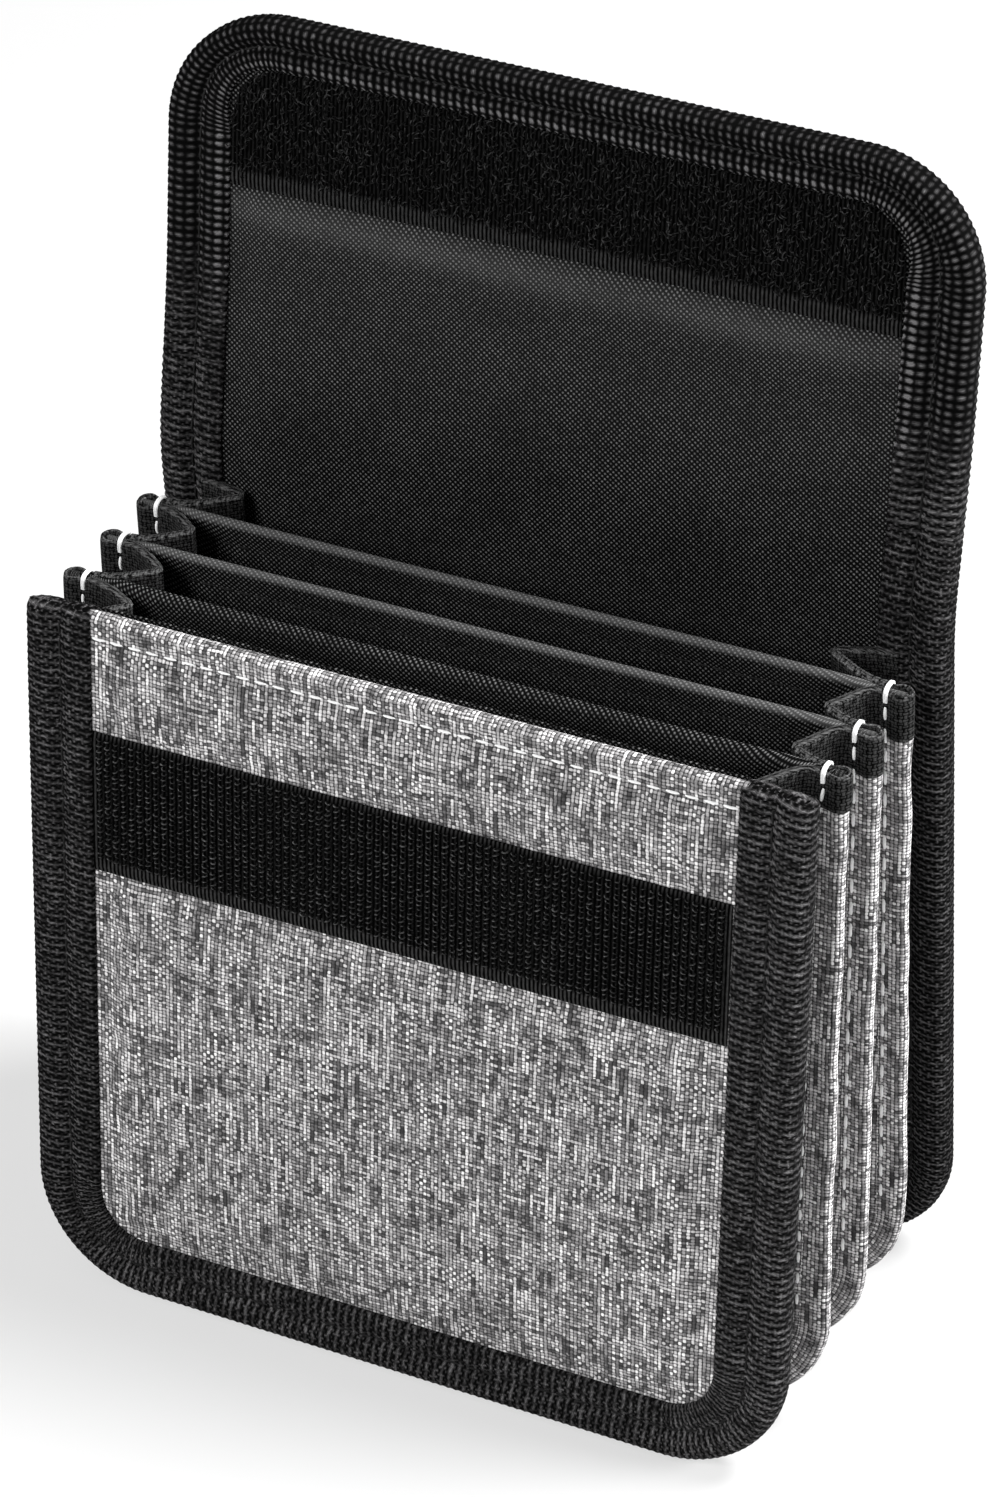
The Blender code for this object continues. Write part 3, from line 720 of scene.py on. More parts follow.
def webbingBand(name, half, top, endLeg, place, closedTop=False, turned=0.0):
    size = webbingSizes
    total = edgeLength(half, top)
    count = round(total / size["rib"])
    lengths = np.linspace(0, total, count * size["steps"] + 1)
    stations = edgeStations(half, top, lengths)
    whole = foldedLine(bindingLine)
    yarns = round(spaced(whole, 200)[1][-1] / size["flapYarn" if turned else "yarn"])
    outer, across = spaced(whole, yarns * size["acrossSteps"] + 1)
    section = np.vstack([outer, insideLine, insideLine[::-1] * (1, -1)])
    hidden = np.zeros(2 * len(insideLine))
    face = np.concatenate([np.ones(len(outer)), hidden])
    inset = section[:, 0][None] * legShare(endLeg, stations[3])[:, None]
    y = np.broadcast_to(section[:, 1], inset.shape)
    along = np.broadcast_to(lengths[:, None], inset.shape)
    wide, height = movedIn(stations, inset)
    if closedTop:
        # the outer corner of each end is rounded off, and the end is flatter
        nearTop = ease((stations[1] - top + size["taper"]) / size["taper"])[:, None]
        y = y * (1 - size["slimmer"] * nearTop * face)
        corner = 1 - ease(inset / size["sideLeg"] * size["shoulderWide"])
        height = height - size["shoulder"] * nearTop * corner
        # the tape's end is folded shut over the top of the panel
        turns = np.linspace(0, math.pi / 2, 6)[1:]

        def ends(row, sign):
            grown = [(wide[row], y[row] * max(math.cos(a), 0) ** 0.6,
                      height[row] + size["rise"] * math.sin(a), along[row] + sign * size["rise"] * a)
                     for a in turns]
            return grown[::sign]
        first, last = ends(0, -1), ends(-1, 1)
        wide, y, height, along = (np.vstack([[e[k] for e in first], part, [e[k] for e in last]])
                                  for k, part in enumerate((wide, y, height, along)))
    if turned:
        height = turned - height
    rows, width = wide.shape
    index = np.arange(rows * width).reshape(rows, width)
    after = np.roll(index, -1, axis=1)
    faces = np.stack([index[:-1], after[:-1], after[1:], index[1:]], -1).reshape(-1, 4).tolist()
    if not closedTop:
        faces += [index[0][::-1].tolist(), index[-1].tolist()]
    acrossAll = np.tile(np.concatenate([across, hidden]), rows)
    # where the flap's painted grain-top highlights take over from the painted rib lines
    beads = ease((height - midSpine - 1) / size["fade"]) if turned else 0 * height
    marks = {"along": along * mm, "face": np.tile(face, rows),
             "selvage": np.tile(face * (section[:, 0] > size["sideLeg"] - size["selvage"]), rows),
             "across": acrossAll * mm, "bead": beads,
             # mark along the outer fold, where the painted rib highlights are dimmed
             "worn": np.tile(face * bump(section[:, 0], 0.0, 0.5), rows)}
    yarnPitch, ribPitch = across[-1] / yarns, total / count
    uv = np.stack([acrossAll * size["yarn"] / yarnPitch, along.ravel() * size["rib"] / ribPitch], -1)
    piece = makeMesh(name, place(wide, y, height), faces, None, uv, marks, 70, 0.001 if closedTop else 0)
    grow(piece, ribs, {"Rib Pitch": ribPitch * mm, "Yarn Pitch": yarnPitch * mm,
                       "Relief": size["relief"] * mm}, webbing)
    return piece, (total, across[-1])


def grooveStitches(name, half, top, endLeg, place, turned=0.0):  # the row that holds both legs of the webbing
    total = edgeLength(half, top)
    x, z, inX, inZ = edgeStations(half, top, np.linspace(2, total - 2, int(total / 2)))
    inset = webbingSizes["groove"] * legShare(endLeg, inZ)
    wide, high = x + inX * inset, z + inZ * inset
    if turned:
        high = turned - high
    lines = [place(wide, side * grooveSeat, high) for side in (-1, 1)]
    ups = [place(wide, side * (grooveSeat + 1), high) - line for side, line in zip((-1, 1), lines)]
    return stitchLines(name, lines, ups, grooveThread, black)


def declareBand(piece, measured):
    measured[1] * mm
    measured[0] * mm


# Front panel
front = {
    "half": 64.9, "top": 124.4, "columns": 76, "rows": 74, "face": 1.72, "rear": 1.15, "rim": 0.9,
    "zones": [(0, 0.0), (10, 0.0), (13, 0.12), (22, 0.6), (35, 0.95), (50, 1.1), (66, 0.95), (76, 0.55),
              (78.5, 0.18), (80, 0.08), (104.5, 0.08), (106, 0.2), (113, 0.48), (117, 0.5), (119.6, 0.32),
              (121.2, 0.0), (122.6, 0.25), (124.4, 0.2)],  # height and swell
    "swellHalf": 54.4, "swellEdge": 8, "clear": 53.5, "leg": 11, "hem": 121.2, "bandTop": 123.5,
    "ripple": (0.10, 9.0), "rippleTop": 119, "stripMiddle": 92.2, "stripHalf": 12.6,
}
frontLine = {"top": 125.15, "count": 60, "outer": 1.68, "inner": 1.38, "puff": 0.18, "puffHalf": 54,
             "roll": 0.45, "rollFrom": 123.6, "rollOver": 1.5}
tuck = {"draw": 2.9, "from": 55.0, "over": 1.3, "low": 100, "rise": 24}
frontWall = wallPlace(0)


def footLine(x, half, inset=case["inset"]):  # the lowest height of a panel with rounded lower corners
    radius = case["corner"]
    over = np.clip((np.abs(x) - (half - radius)) / (radius - inset), 0, 1)
    return inset + (radius - inset) * (1 - np.sqrt(np.maximum(1 - over ** 2, 0)))


def panelGrid(half, low, high, columns, rows, fullHalf, roundLow=True, roundHigh=False):
    # evenly spread x and height over a panel, crowded a little at its edges
    crowd = math.pi / 2 * 0.55
    x = half * np.sin(np.linspace(-1, 1, columns) * crowd) / math.sin(crowd)
    curve = footLine(x, fullHalf) - case["inset"]
    bottom = low + curve * roundLow
    ceiling = high - curve * roundHigh
    height = bottom[None] + (ceiling - bottom)[None] * np.linspace(0, 1, rows)[:, None]
    return np.broadcast_to(x[None], height.shape), height


def tuckedUnder(x, z):  # how far the upper corners draw down inside the webbing's closed ends
    beside = ease((np.abs(x) - tuck["from"]) / tuck["over"])
    return tuck["draw"] * beside * ease((z - tuck["low"]) / tuck["rise"])


def makeFrontCover():
    x, z = panelGrid(front["half"], case["inset"], front["top"], front["columns"], front["rows"],
                     case["halfFront"])
    z = z - tuckedUnder(x, z)
    inside = front["clear"] - np.abs(x)
    depth, pitch = front["ripple"]
    crown = np.interp(z, *zip(*front["zones"])) * ease((front["swellHalf"] - np.abs(x)) / front["swellEdge"])
    ripple = depth * wobble(x, z, 4, pitch) * ease(inside / 5) * ease((z - 12) / 8)
    crown = crown + ripple * (z < front["rippleTop"])
    outer = frontWall(x, -front["face"] - crown, z)
    fromStrip = np.abs(z - front["stripMiddle"]) - front["stripHalf"]
    free = ease(inside / 3) * ease((z - front["leg"]) / 3) * ease(fromStrip / 2)
    outer = settled(outer, 1 - free * ease((np.abs(z - front["hem"]) - 0.5) / 1.5), 1)
    inner = frontWall(x, front["rear"], z)
    return closedSheet("frontCover", outer, inner, heather, np.stack([x, z], -1), front["rim"], 4)


def makeFrontLining():
    size = frontLine
    x, z = panelGrid(front["half"], case["inset"], size["top"], size["count"], size["count"],
                     case["halfFront"])
    z = z - 1.2 * tuckedUnder(x, z)
    puff = size["puff"] * ease((size["puffHalf"] - np.abs(x)) / 8) * ease((z - 10) / 10)
    puff = puff * (1 + 0.5 * wobble(x, z, 9, 12.0))
    lift = puff - size["roll"] * ease((z - size["rollFrom"]) / size["rollOver"])
    outer, inner = (frontWall(x, size[key] + lift, z) for key in ("outer", "inner"))
    return closedSheet("frontLining", outer, inner, twill, np.stack([x, z], -1))


frontCover = makeFrontCover()
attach(frontCover, "front")
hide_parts("front_cover", "front_foam")

frontLining = makeFrontLining()
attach(frontLining, "front")
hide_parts("front_lining")

frontEdge = (case["halfFront"], front["bandTop"], webbingSizes["footLeg"], frontWall)
frontBinding, measured = webbingBand("frontBinding", *frontEdge, True)
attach(frontBinding, "front")
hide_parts("front_binding")
frontStitches = grooveStitches("frontStitches", *frontEdge)
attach(frontStitches, "front")
declareBand(frontBinding, measured)
print("stage: front panel", len(frontBinding.data.polygons))

hookTape = {"half": 54.2, "low": 79.7, "high": 104.7, "columns": 77, "rows": 27, "outer": 2.42, "inner": 1.84,
            "wave": (0.10, 22.0), "edge": (0.28, 1.2), "selvageLow": 2.2, "selvageHigh": 0.7,
            "pileHalf": 53.2}
hookWires = {"Radius": 0.40 * mm, "Wire": 0.14 * mm, "Sweep": 4.4, "Tilt": 0.16, "Seed": 3.0}


def makeHookStrip():
    size = hookTape
    x = np.linspace(-size["half"], size["half"], size["columns"])[None] + np.zeros((size["rows"], 1))
    z = np.linspace(size["low"], size["high"], size["rows"])[:, None] + np.zeros((1, size["columns"]))
    lift = size["wave"][0] * wobble(x, z, 21, size["wave"][1])
    fromLow, fromHigh = z - size["low"], size["high"] - z
    edge = size["edge"][0] * (1 - ease(np.minimum(fromLow, fromHigh) / size["edge"][1]))
    outer = frontWall(x, -size["outer"] - lift * 0.7 + edge, z)
    inner = frontWall(x, -size["inner"] - lift * 0.3, z)
    inside = np.minimum(fromLow - size["selvageLow"], fromHigh - size["selvageHigh"])
    pile = ((inside > 0) & (np.abs(x) < size["pileHalf"])).astype(float)
    piece = closedSheet("hookStrip", outer, inner, hookBase, np.stack([x, z], -1), marks={"pile": pile})
    return grow(piece, hookPile, hookWires, hooks)


hookStrip = makeHookStrip()
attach(hookStrip, "front")
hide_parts("hook_strip")

hemSizes = {"Pitch": 3.1, "Length": 2.5, "Width": 0.5, "Rise": 0.22}
hemLine = frontWall(np.linspace(-53.0, 53.0, 60), -front["face"] - 0.03, front["hem"])
hemThread = stitchLines("hemThread", [hemLine], [(0, -1, 0.07)], hemSizes, white)
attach(hemThread, "front")
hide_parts("front_hem_thread")

# Dividers
divider = {
    "half": 65.3, "inset": 1.0, "columns": 60, "top": 121.42, "calm": 0.72,
    "profile": [(0, 0.72), (108, 0.72), (115, 0.85), (118.2, 0.62), (119.6, 0.95), (120.7, 1.08),
                (121.4, 1.08)],
    "skin": {1: -0.3, 2: 0.3, 3: 0.3},  # thickness, added outside on the first and inside on the others
    "sway": (0.25, 26.0), "ripple": (0.06, 9.0), "polish": 0.8, "sewn": 118.2, "seat": 0.66,
}
dividerThread = {"Pitch": 3.1, "Length": 2.4, "Width": 0.34, "Rise": 0.12}


def makeDividerLining(index):
    place = wallPlace(index)
    size = divider
    x = size["half"] * np.sin(np.linspace(-1, 1, size["columns"])) / math.sin(1.0)
    low = footLine(x, case["halfDivider"], size["inset"])
    share = np.concatenate([np.linspace(0, 0.86, 26), np.linspace(0.86, 1, 22)[1:]])
    face = low[None] + (size["top"] - low)[None] * share[:, None]
    thick = np.interp(face, *zip(*size["profile"]))
    thick = size["calm"] + (thick - size["calm"]) * ease((61.5 - np.abs(x)) / 4)[None]
    ripple = size["ripple"][0] * wobble(x[None], face, 30 + index, size["ripple"][1])
    thick = thick + ripple * ease((118 - face) / 20)
    turn = np.linspace(0, math.pi, 9)[1:-1, None]
    z = np.vstack([face, size["top"] + np.sin(turn) * thick[-1][None], face[::-1]])
    y = np.vstack([-thick, -np.cos(turn) * thick[-1][None], thick[::-1]])
    wide = np.broadcast_to(x[None], z.shape)
    sway = size["sway"][0] * wobble(wide, z * 0, 50 + index, size["sway"][1])
    sway = sway * ease((z - 60) / 60) * ease((60 - np.abs(wide)) / 20)
    outer = place(wide, y + sway, z)
    inner = offsetGrid(outer, size["skin"][index])
    uv = np.stack([wide, runLengths(outer, 0)], -1)
    # painted highlight along the rounded top of the divider, where light catches it
    piece = closedSheet(f"dividerLining{index}", outer, inner, twill, uv,
                        marks={"polish": size["polish"] * ease((z - 121.5) / 0.7)})
    lines = [place(np.linspace(-60, 60, 70), side * size["seat"], size["sewn"]) for side in (-1, 1)]
    return piece, stitchLines(f"dividerStitch{index}", lines, [(0, -1, 0), (0, 1, 0)], dividerThread, black)


finLine = [(4.6, 1.22), (3.5, 1.12), (2.6, 1.22), (1.5, 1.22), (0.6, 1.0), (0.12, 0.6), (0.0, 0.0)]
finSizes = {"columns": 25, "step": 1.6, "thick": 0.45, "opening": 0.5, "openFrom": 104, "openOver": 14}
tapeFoot = {1: 116.2, 2: 115.0, 3: 114.2}  # the height where each fin's tape ends
tapeSizes = {"rows": 22, "turn": 14, "thick": 0.22}


def finContour():  # the fin's section, the length run along it, and the section where it stands open
    line, run = spaced(foldedLine(finLine), finSizes["columns"])
    opening = 1 + finSizes["opening"] * bump(line[:, 0], 1.3, 1.5)
    return line, run, line * np.stack([np.ones(len(line)), opening], 1)


def contourNormals(line):  # pointing out of the fin
    slope = np.gradient(line, axis=0)
    slope /= np.linalg.norm(slope, axis=1, keepdims=True)
    normal = np.stack([slope[:, 1], -slope[:, 0]], 1)
    return -normal if normal[len(line) // 2, 0] > 0 else normal


def makeFin(index):
    place = wallPlace(index)
    total = edgeLength(case["halfDivider"], case["gussetTop"])
    lengths = np.linspace(0, total, int(total / finSizes["step"]) + 1)
    stations = edgeStations(case["halfDivider"], case["gussetTop"], lengths)
    line, run, opened = finContour()
    normal = contourNormals(line)
    atTop = ease((stations[1] - finSizes["openFrom"]) / finSizes["openOver"])[:, None]
    still = lengths * 0
    wave = 0.16 * wobble(lengths, still, 70 + index, 5.0) + 0.10 * wobble(lengths, still, 80 + index, 1.6)
    grids = []
    for depth in (0.0, finSizes["thick"]):
        moved = line - normal * depth
        inset = moved[:, 0][None] + wave[:, None] * ease((4 - moved[:, 0]) / 4)[None]
        wide, high = movedIn(stations, inset)
        grids.append(place(wide, moved[:, 1][None] + (opened - line)[:, 1][None] * atTop, high))
    uv = np.stack(np.broadcast_arrays(run[None], lengths[:, None]), -1)
    # painted light: a pale painted highlight along the folded tip, and the rest of the fin painted a little
    # lighter than the same cloth elsewhere
    worn = 0.14 * bump(line[:, 0], 0.0, 0.5) + 0.05 * ease((line[:, 0] - 0.4) / 0.8)
    piece = closedSheet(f"fin{index}", *grids, heather, uv,
                        marks={"tint": np.broadcast_to(worn, grids[0].shape[:2])})
    return piece, (run[-1], lengths[-1])


def makeFinTape(index):  # narrow tape folded over the top of the fin on each side
    place = wallPlace(index)
    _, run, line = finContour()
    normal = contourNormals(line)
    low, rows = tapeFoot[index], np.arange(tapeSizes["rows"])
    profile = rounded([(0.28, low), (0.30, 121.6), (0.16, 122.4), (-0.36, 122.4), (-0.62, 121.6),
                       (-0.66, 117.5)])
    profile, rise = spaced(profile, len(rows))
    uv = np.stack(np.broadcast_arrays(run[None], rise[:, None]), -1)
    # painted highlights on the tape's top fold and, fainter, at its lower edge
    pale = 0.75 * bump(profile[:, 1], 122.5, 0.5) + 0.3 * bump(profile[:, 1], low, 0.35)
    parts = []
    for side in (-1, 1):
        grids = []
        for depth in (0.0, tapeSizes["thick"]):
            out = profile[:, 0] - depth * np.where(rows < tapeSizes["turn"], 1, -1)
            moved = line[None] + normal[None] * out[:, None, None]
            high = profile[:, 1][:, None] - depth * bump(rows, tapeSizes["turn"], 4)[:, None]
            grids.append(place(side * (case["halfDivider"] - moved[..., 0]), moved[..., 1], high))
        parts.append(closedSheet("tapePart", *grids, tape, uv,
                                 marks={"rim": np.broadcast_to(pale[:, None], grids[0].shape[:2])}))
    return joined(f"finTape{index}", parts)


seam = {"inset": 3.8, "further": 1.2, "low": 24.0, "high": 118.5, "seat": 1.14, "onTape": 0.30,
        "tapeFrom": 111.4, "pair": 0.13,
        "over": [(120.6, -1.45), (121.5, -1.55), (122.5, -1.45), (122.95, -0.7), (122.95, 0.7),
                 (122.5, 1.45), (121.5, 1.55), (120.6, 1.45)]}
seamSizes = {"Pitch": 4.0, "Length": 2.7, "Width": 0.56, "Rise": 0.32}


def makeSeam(index):  # a row down each face of the fins, and two threads over the top of each
    place = wallPlace(index)
    lines, ups, bars = [], [], []
    z = np.linspace(seam["low"], seam["high"], 60)
    further = seam["further"] * (index == 1) * ease((119 - z) / 9)
    out = seam["seat"] + seam["onTape"] * ease(z - seam["tapeFrom"])
    over = rounded(seam["over"])
    for side in (-1, 1):
        x = side * (case["halfDivider"] - seam["inset"] - further)
        for face in (-1, 1):
            lines.append(place(x, face * out, z))
            ups.append((side * 0.1, face, 0))
        for beside in (-seam["pair"], seam["pair"]):
            bars.append((place(x[-1] + beside, over[:, 1], over[:, 0]), (0, 0, 1)))
    return stitchLines(f"seamThread{index}", lines, ups, seamSizes, white, bars)


for index in (1, 2, 3):
    body = f"divider_{index}"
    lining, thread = makeDividerLining(index)
    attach(lining, body)
    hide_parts(body + "_lining")
    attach(thread, body)
    fin, finFlat = makeFin(index)
    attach(fin, body)
    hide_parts(body + "_fold")
    finTape, seamThread = makeFinTape(index), makeSeam(index)
    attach(finTape, body)
    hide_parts(body + "_tape_left", body + "_tape_right")
    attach(seamThread, body)
    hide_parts(body + "_thread_left", body + "_thread_right")
    [v * mm for v in finFlat]
    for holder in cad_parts[body + "_board"].material_slots:
        holder.material = board
print("stage: dividers")

# Pleats of the gusset between the walls
pleat = {
    "footHalf": 7.25, "half": 8.9, "panelGap": 2.35, "panelNeck": 6.2, "finGap": 1.22, "finNeck": 4.5,
    "columns": 31, "step": 2.0, "cloth": 0.42, "lining": (0.5, 0.8), "blend": 4.6,
    # depth and place across of the left and the right valley, for each pocket
    "valley": {1: ((13.2, 0.58), (11.0, 0.27)), 2: ((12.2, 0.5), (9.6, 0.24)),
               3: ((11.8, 0.54), (9.6, 0.26)), 4: ((13.6, 0.76), (15.0, 0.6))},
}
pleatTapeSizes = {"deep": 10.0, "rows": 9, "outer": 0.30, "inner": 1.05, "ridge": 0.75, "shoulder": 0.5,
                  "thick": 0.22}


def valleyLine(count, place):  # depth and place of even steps over a pleat that is drawn in to a soft point
    depth = [0, 0.35, 0.94, 1.06, 0.94, 0.35, 0]
    share = [0, 0.035, place - 0.07, place, place + 0.07, 0.965, 1]
    line, _ = spaced(rounded(np.stack([np.array(share) * 12, np.array(depth) * 9], 1), 3), count)
    return line[:, 0] / 12, line[:, 1] / 9


def pleatGrid(pocket, lengths):
    near, far = wallPlace(pocket - 1), wallPlace(pocket)
    half = case["halfDivider"]
    stations = edgeStations(half, case["gussetTop"], lengths)
    x, z, atFoot = stations[0], stations[1], ease(stations[3])
    kinds = ["panel" if wall in (0, 4) else "fin" for wall in (pocket - 1, pocket)]
    gaps, necks = ([pleat[kind + part] for kind in kinds] for part in ("Gap", "Neck"))
    count = pleat["columns"]
    rightward = ease((x + half) / (2 * half))[:, None]
    (leftDeep, leftAt), (rightDeep, rightAt) = pleat["valley"][pocket]
    share, depth = 0, 0
    for weight, at in ((1 - rightward, leftAt), (rightward, rightAt)):
        one, two = valleyLine(count, at)
        share, depth = share + weight * one[None], depth + weight * two[None]
    even = np.linspace(0, 1, count)
    roundShare = even - np.sin(2 * math.pi * even) / (2 * math.pi)
    span = np.linalg.norm(far(x, -gaps[1], z) - near(x, gaps[0], z), axis=-1)
    reach = pleat["half"] + (pleat["footHalf"] - pleat["half"]) * atFoot
    footDeep = np.sqrt(np.maximum(reach ** 2 - (span / 2) ** 2, 3.0))[:, None]
    atFoot = atFoot[:, None]
    share = share * (1 - atFoot) + roundShare[None] * atFoot
    depth = depth * (1 - atFoot) + np.sin(math.pi * even)[None] * atFoot
    neck = necks[0] + (necks[1] - necks[0]) * share
    upper = (leftDeep * (1 - rightward) + rightDeep * rightward) - neck
    wave = 1 + 0.06 * wobble(lengths, lengths * 0, 90 + pocket, 6.0)[:, None]
    wide, high = movedIn(stations, neck + (upper * (1 - atFoot) + footDeep * atFoot) * wave * depth)
    return near(wide, gaps[0], high) * (1 - share)[..., None] + far(wide, -gaps[1], high) * share[..., None]


def inwardSign(grid):  # +1 where the grid's normals point into the pocket
    middle = grid.shape[1] // 2
    moved = offsetGrid(grid, 1.0)
    return 1 if abs(moved[10, middle, 0]) < abs(grid[10, middle, 0]) else -1


def makePleatTape(pocket, lengths, turn):  # one end of the narrow tape that binds the pleat's top
    size = pleatTapeSizes
    strip = pleatGrid(pocket, lengths)
    out, inn = offsetGrid(strip, -turn * size["outer"]), offsetGrid(strip, turn * size["inner"])
    ridge = (out[0] + inn[0]) / 2 + np.array([0, 0, size["ridge"]])
    shoulder = np.array([0, 0, size["shoulder"]])
    sheet = np.concatenate([out[::-1], (out[0] + shoulder)[None], ridge[None],
                            (inn[0] + shoulder)[None], inn], 0)
    inner = offsetTo(strip[6, 15], (2, 15), sheet, size["thick"])
    uv = np.stack([runLengths(sheet, 1), runLengths(sheet, 0)], -1)
    # painted highlight along the tape's fold over the pleat's top
    pale = 0.8 * bump(np.abs(np.arange(len(sheet)) - len(strip) - 1.0), 1.0, 0.75)[:, None]
    return closedSheet("tapePart", sheet, inner, tape, uv,
                       marks={"rim": np.broadcast_to(pale, sheet.shape[:2])})


def makePleat(pocket):
    total = edgeLength(case["halfDivider"], case["gussetTop"])
    lengths = np.linspace(0, total, int(total / pleat["step"]) + 1)
    grid = pleatGrid(pocket, lengths)
    sign = inwardSign(grid)
    run = runLengths(grid, 1)
    uv = np.stack(np.broadcast_arrays(run, lengths[:, None]), -1)
    cloth = closedSheet(f"pleatCloth{pocket}", grid, offsetGrid(grid, sign * pleat["cloth"]), heather, uv)
    skins = (offsetGrid(grid, sign * depth) for depth in pleat["lining"])
    lining = closedSheet(f"pleatLining{pocket}", *skins, twill, uv)
    low = np.linspace(0, pleatTapeSizes["deep"], pleatTapeSizes["rows"])
    tapes = [makePleatTape(pocket, low, sign), makePleatTape(pocket, total - low, -sign)]
    return cloth, lining, joined(f"pleatTape{pocket}", tapes), (run[:, -1].max(), total)


for pocket in (1, 2, 3, 4):
    cloth, lining, pleatTape, (widest, total) = makePleat(pocket)
    for piece, slot, nodes in ((cloth, "heather_cloth", ["_cloth"]), (lining, "black_twill", ["_lining"]),
                               (pleatTape, "black_tape", ["_tape_left", "_tape_right"])):
        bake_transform(piece)
        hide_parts(*[f"pleat_{pocket}{node}" for node in nodes])
    flat = (widest * mm, total * mm)
print("stage: gusset pleats")

# Back, spine and flap: cover, lining and webbing run on over the two folds
back = {
    "half": 66.8, "columns": 70, "face": 1.72, "rear": 1.15, "lining": (1.66, 1.34),
    "swellHalf": 55.8, "swellEdge": 7, "clear": 55.5, "leg": 11, "flapLeg": 9, "ripple": 0.10,
    "outside": [(0, 0), (11, 0), (24, 0.8), (64, 1.1), (108, 0.8), (125, 0.15), (131, 0.15), (143.05, 0.65),
                (155, 0.15), (160.5, 0.15), (172, 0.7), (184, 0.7), (194, 0.0), (202, 0)],
    "inside": [(0, 0), (12, 0), (30, 0.25), (80, 0.35), (105, 0.5), (118, 0.8), (126.5, 0.35), (129.5, 0.35),
               (138, 0.95), (148, 0.95), (156.5, 0.45), (159.5, 0.5), (163, 1.0), (168.0, 1.5),
               (171.0, 1.35), (172.8, 0.6), (174.5, 0.05), (202, 0.0)],
}


def backGrid(low, high, rows, roundLow, roundHigh):
    return panelGrid(back["half"], low, high, back["columns"], rows, case["halfBack"], roundLow, roundHigh)


def crownOf(x, s, zones, seed):
    heights = np.interp(s, *zip(*zones))
    side = ease((back["swellHalf"] - np.abs(x)) / back["swellEdge"])
    return heights * side + back["ripple"] * wobble(x, s, seed, 10.0) * side * np.minimum(1, heights / 0.4)


def makeCover(name, low, high, rows, roundLow, roundHigh, seed):
    x, s = backGrid(low, high, rows, roundLow, roundHigh)
    outer = backPlace(x, back["face"] + crownOf(x, s, back["outside"], seed), s)
    free = ease((back["clear"] - np.abs(x)) / 3) * ease((s - back["leg"]) / 3)
    free = free * ease((flapTop - back["flapLeg"] - s) / 3)
    for line, gap in ((foldLow, 2), (foldHigh, 2), (midSpine, 0.5)):
        free = free * ease((np.abs(s - line) - gap) / 4)
    outer = settled(outer, 1 - free, -1)
    inner = backPlace(x, -back["rear"], s)
    return closedSheet(name, outer, inner, heather, np.stack([x, s], -1))


def makeLining(name, low, high, rows, roundLow, roundHigh, seed):
    x, s = backGrid(low, high, rows, roundLow, roundHigh)
    pucker = bump(s, 170.8, 2.4) * np.sin(x / 0.95 + 2.6 * wobble(x, s * 0, 5, 6.0)) * 0.20
    gather = ease((np.abs(x) - 49) / 5) * np.sin(s / 0.9 + 1.5 * wobble(s, s * 0, 6, 9.0)) * 0.12
    puff = crownOf(x, s, back["inside"], seed) + (pucker + gather) * ease((back["clear"] - np.abs(x)) / 2)
    outer, inner = (backPlace(x, -depth - puff, s) for depth in back["lining"])
    # painted highlight in a band under the loop strip, and the lining painted a little lighter towards the
    # flap, standing in for light from above
    polish = 0.46 * bump(s, 170.2, 2.6) * (0.75 + 0.3 * wobble(x, s, 7, 7.0))
    polish = polish + 0.08 * ease((s - 132) / 35) * (s < 173)
    return closedSheet(name, outer, inner, twill, np.stack([x, s], -1), marks={"polish": polish})


def joinFolds(piece, which):
    start = foldLow if which == "low" else foldHigh
    bodies = ("back", "spine") if which == "low" else ("spine", "flap")
    ends = [backPlace(0, 0, start + way * case["bend"]) * mm for way in (-1, 1)]
    tuple(float(v) for v in ends[0])
    tuple(float(v) for v in ends[1])
    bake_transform(piece)


lowEdge = (case["halfBack"], midSpine, webbingSizes["footLeg"], backPlace)
highEdge = (case["halfBack"], flapTop - midSpine, webbingSizes["flapLeg"], backPlace)
coverLower = makeCover("coverLower", case["inset"], midSpine, 90, True, False, 14)
coverUpper = makeCover("coverUpper", midSpine, flapTop - case["inset"], 46, False, True, 15)
liningLower = makeLining("liningLower", case["inset"], midSpine, 110, True, False, 16)
liningUpper = makeLining("liningUpper", midSpine, flapTop - case["inset"], 90, False, True, 16)
bindingLower, lowerSize = webbingBand("bindingLower", *lowEdge)
bindingUpper, upperSize = webbingBand("bindingUpper", *highEdge, False, flapTop)
print("stage: back, spine and flap", len(bindingLower.data.polygons))

for piece, which, slot, nodes in (
        (coverLower, "low", "heather_cloth", ["back_cover", "back_foam", "back_fold_web", "spine_cover"]),
        (coverUpper, "high", "heather_cloth", ["spine_foam", "flap_cover", "flap_foam", "flap_fold_web"]),
        (liningLower, "low", "black_twill", ["back_lining", "spine_lining"]),
        (liningUpper, "high", "black_twill", ["flap_lining"]),
        (bindingLower, "low", "black_webbing", ["back_binding", "spine_binding_left", "spine_binding_right"]),
        (bindingUpper, "high", "black_webbing", ["flap_binding"])):
    joinFolds(piece, which)
    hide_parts(*nodes)
lowerStitches = grooveStitches("lowerStitches", *lowEdge)
upperStitches = grooveStitches("upperStitches", *highEdge, flapTop)
for piece, which in ((lowerStitches, "low"), (upperStitches, "high")):
    joinFolds(piece, which)
declareBand(bindingLower, lowerSize)
declareBand(bindingUpper, upperSize)

loopTape = {"half": 56.1, "low": 15.8, "high": 35.8, "corner": 8.5, "selvage": 2.8, "columns": 90, "rows": 25,
            "outer": 2.36, "inner": 1.80, "wave": (0.10, 20.0), "edge": (0.30, 1.3)}
loopWires = {"Radius": 0.50 * mm, "Wire": 0.10 * mm, "Sweep": 4.6, "Density": 1.3e6, "Tilt": 0.75,
             "Seed": 8.0}


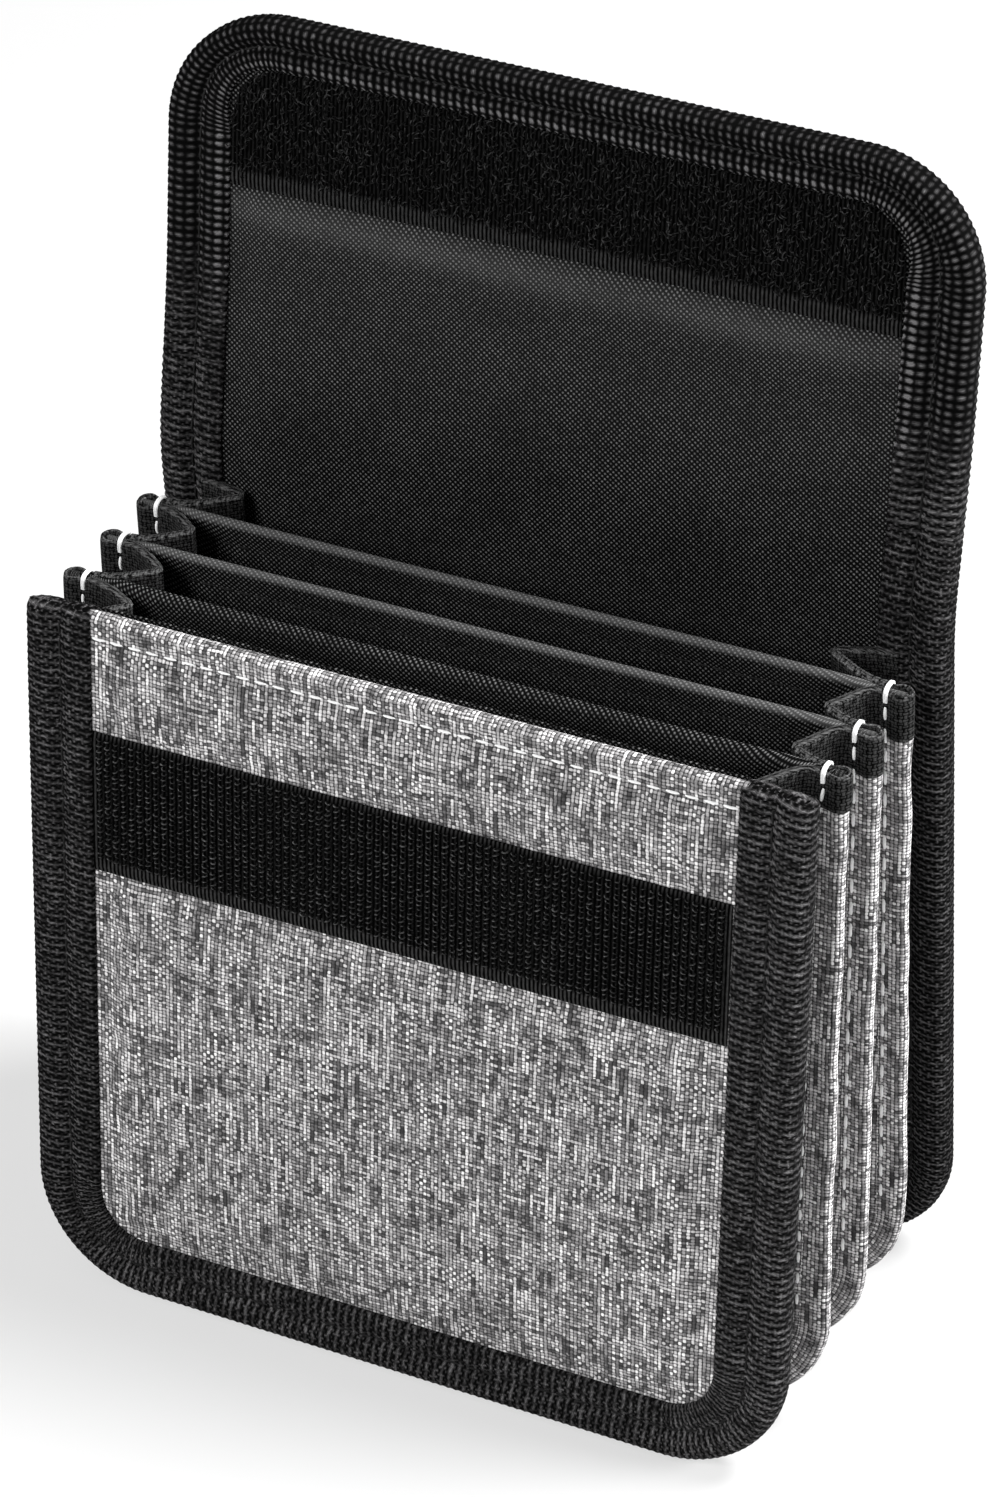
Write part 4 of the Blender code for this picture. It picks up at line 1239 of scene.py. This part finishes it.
def makeLoopStrip():
    size = loopTape
    x = np.linspace(-size["half"], size["half"], size["columns"])
    over = np.clip((np.abs(x) - (size["half"] - size["corner"])) / size["corner"], 0, 1)
    ceiling = size["high"] - size["corner"] * (1 - np.sqrt(np.maximum(1 - over ** 2, 0)))
    z = size["low"] + (ceiling - size["low"])[None] * np.linspace(0, 1, size["rows"])[:, None]
    x = np.broadcast_to(x[None], z.shape)
    lift = size["wave"][0] * wobble(x, z, 41, size["wave"][1])
    edge = size["edge"][0] * (1 - ease((z - size["low"]) / size["edge"][1]))
    outer = backPlace(x, -size["outer"] - lift * 0.7 + edge, foldHigh + z)
    inner = backPlace(x, -size["inner"], foldHigh + z)
    pile = (z > size["low"] + size["selvage"]).astype(float)
    piece = closedSheet("loopStrip", outer, inner, loopBase, np.stack([x, z], -1), marks={"pile": pile})
    return grow(piece, loopPile, loopWires, loopYarn)


loopStrip = makeLoopStrip()
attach(loopStrip, "flap")
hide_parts("loop_strip")
print("stage: fastener strips", len(hookStrip.data.polygons), len(loopStrip.data.polygons))


# Floor, light and camera
def makeFloor(reach, glow):  # partly lit by itself, so that it comes out near white
    mesh = bpy.data.meshes.new("floor")
    mesh.from_pydata([(-reach, -reach, 0), (reach, -reach, 0), (reach, reach, 0), (-reach, reach, 0)], [],
                     [(0, 1, 2, 3)])
    made = bpy.data.materials.new("paleFloor")
    made.use_nodes = True
    w = Wire(made.node_tree)
    shader = made.node_tree.nodes["Principled BSDF"]
    shader.inputs["Roughness"].default_value = 0.9
    shader.inputs["Specular IOR Level"].default_value = 0.0
    shade = w.where("Object").noise(3.0)
    w.tree.links.new(w.blended(shade, colour(0.58), colour(0.61)).socket, shader.inputs["Base Color"])
    light = w.node("ShaderNodeEmission", None, {"Color": colour(1.0), "Strength": 1.0})
    seen = w.node("ShaderNodeLightPath", None, None, "Is Camera Ray")
    mixed = w.node("ShaderNodeMixShader", None,
                   {0: seen * glow, 1: Wire(w.tree, shader.outputs[0]), 2: light})
    out = [n for n in made.node_tree.nodes if n.type == "OUTPUT_MATERIAL"][0]
    w.tree.links.new(mixed.socket, out.inputs["Surface"])
    mesh.materials.append(made)
    linked("floor", mesh)


def makeWorld(level):  # white where the camera sees it, and this bright as a light
    world = bpy.data.worlds.new("studio")
    bpy.context.scene.world = world
    world.use_nodes = True
    w = Wire(world.node_tree)
    background = [n for n in world.node_tree.nodes if n.type == "BACKGROUND"][0]
    strength = level + (1 - level) * w.node("ShaderNodeLightPath", None, None, "Is Camera Ray")
    w.tree.links.new(strength.socket, background.inputs["Strength"])
    background.inputs["Color"].default_value = (1, 1, 1, 1)


def addLamp(name, place, target, size, power):
    lamp = bpy.data.lights.new(name, "AREA")
    lamp.shape, lamp.size, lamp.energy = "DISK", size, power
    holder = linked(name, lamp)
    holder.location = place
    holder.rotation_euler = (Vector(target) - Vector(place)).to_track_quat("-Z", "Y").to_euler()


makeFloor(3, 0.52)
makeWorld(0.27)
addLamp("key", (0.55, 0.30, 1.05), (0, 0, 0.09), 0.45, 20.0)
addLamp("front", (-0.55, -1.05, 0.95), (0, 0, 0.08), 0.7, 18.0)
addLamp("side", (1.15, 0.30, 0.45), (0, 0, 0.08), 0.5, 20.0)

camera = {"turn": 26.58, "rise": 34.472, "roll": -0.945, "distance": 873.01,
          "target": (18.907, -32.3, 125.683), "lens": 142.58}


def makeCamera():
    turn, rise, roll = (math.radians(camera[key]) for key in ("turn", "rise", "roll"))
    away = Vector((math.sin(turn) * math.cos(rise), -math.cos(turn) * math.cos(rise), math.sin(rise)))
    right = Vector((math.cos(turn), math.sin(turn), 0))
    up = Vector((-math.sin(turn) * math.sin(rise), math.cos(turn) * math.sin(rise), math.cos(rise)))
    across = math.cos(roll) * right + math.sin(roll) * up
    upward = -math.sin(roll) * right + math.cos(roll) * up
    where = (Vector(camera["target"]) + away * camera["distance"]) * mm
    data = bpy.data.cameras.new("camera")
    data.lens, data.sensor_width, data.clip_start = camera["lens"], 36.0, 0.01
    holder = linked("camera", data)
    holder.matrix_world = Matrix((*zip(across, upward, away, where), (0, 0, 0, 1)))
    bpy.context.scene.camera = holder


makeCamera()
bpy.context.scene.view_settings.view_transform = "Standard"

bpy.context.view_layer.update()
print("stage: ready")
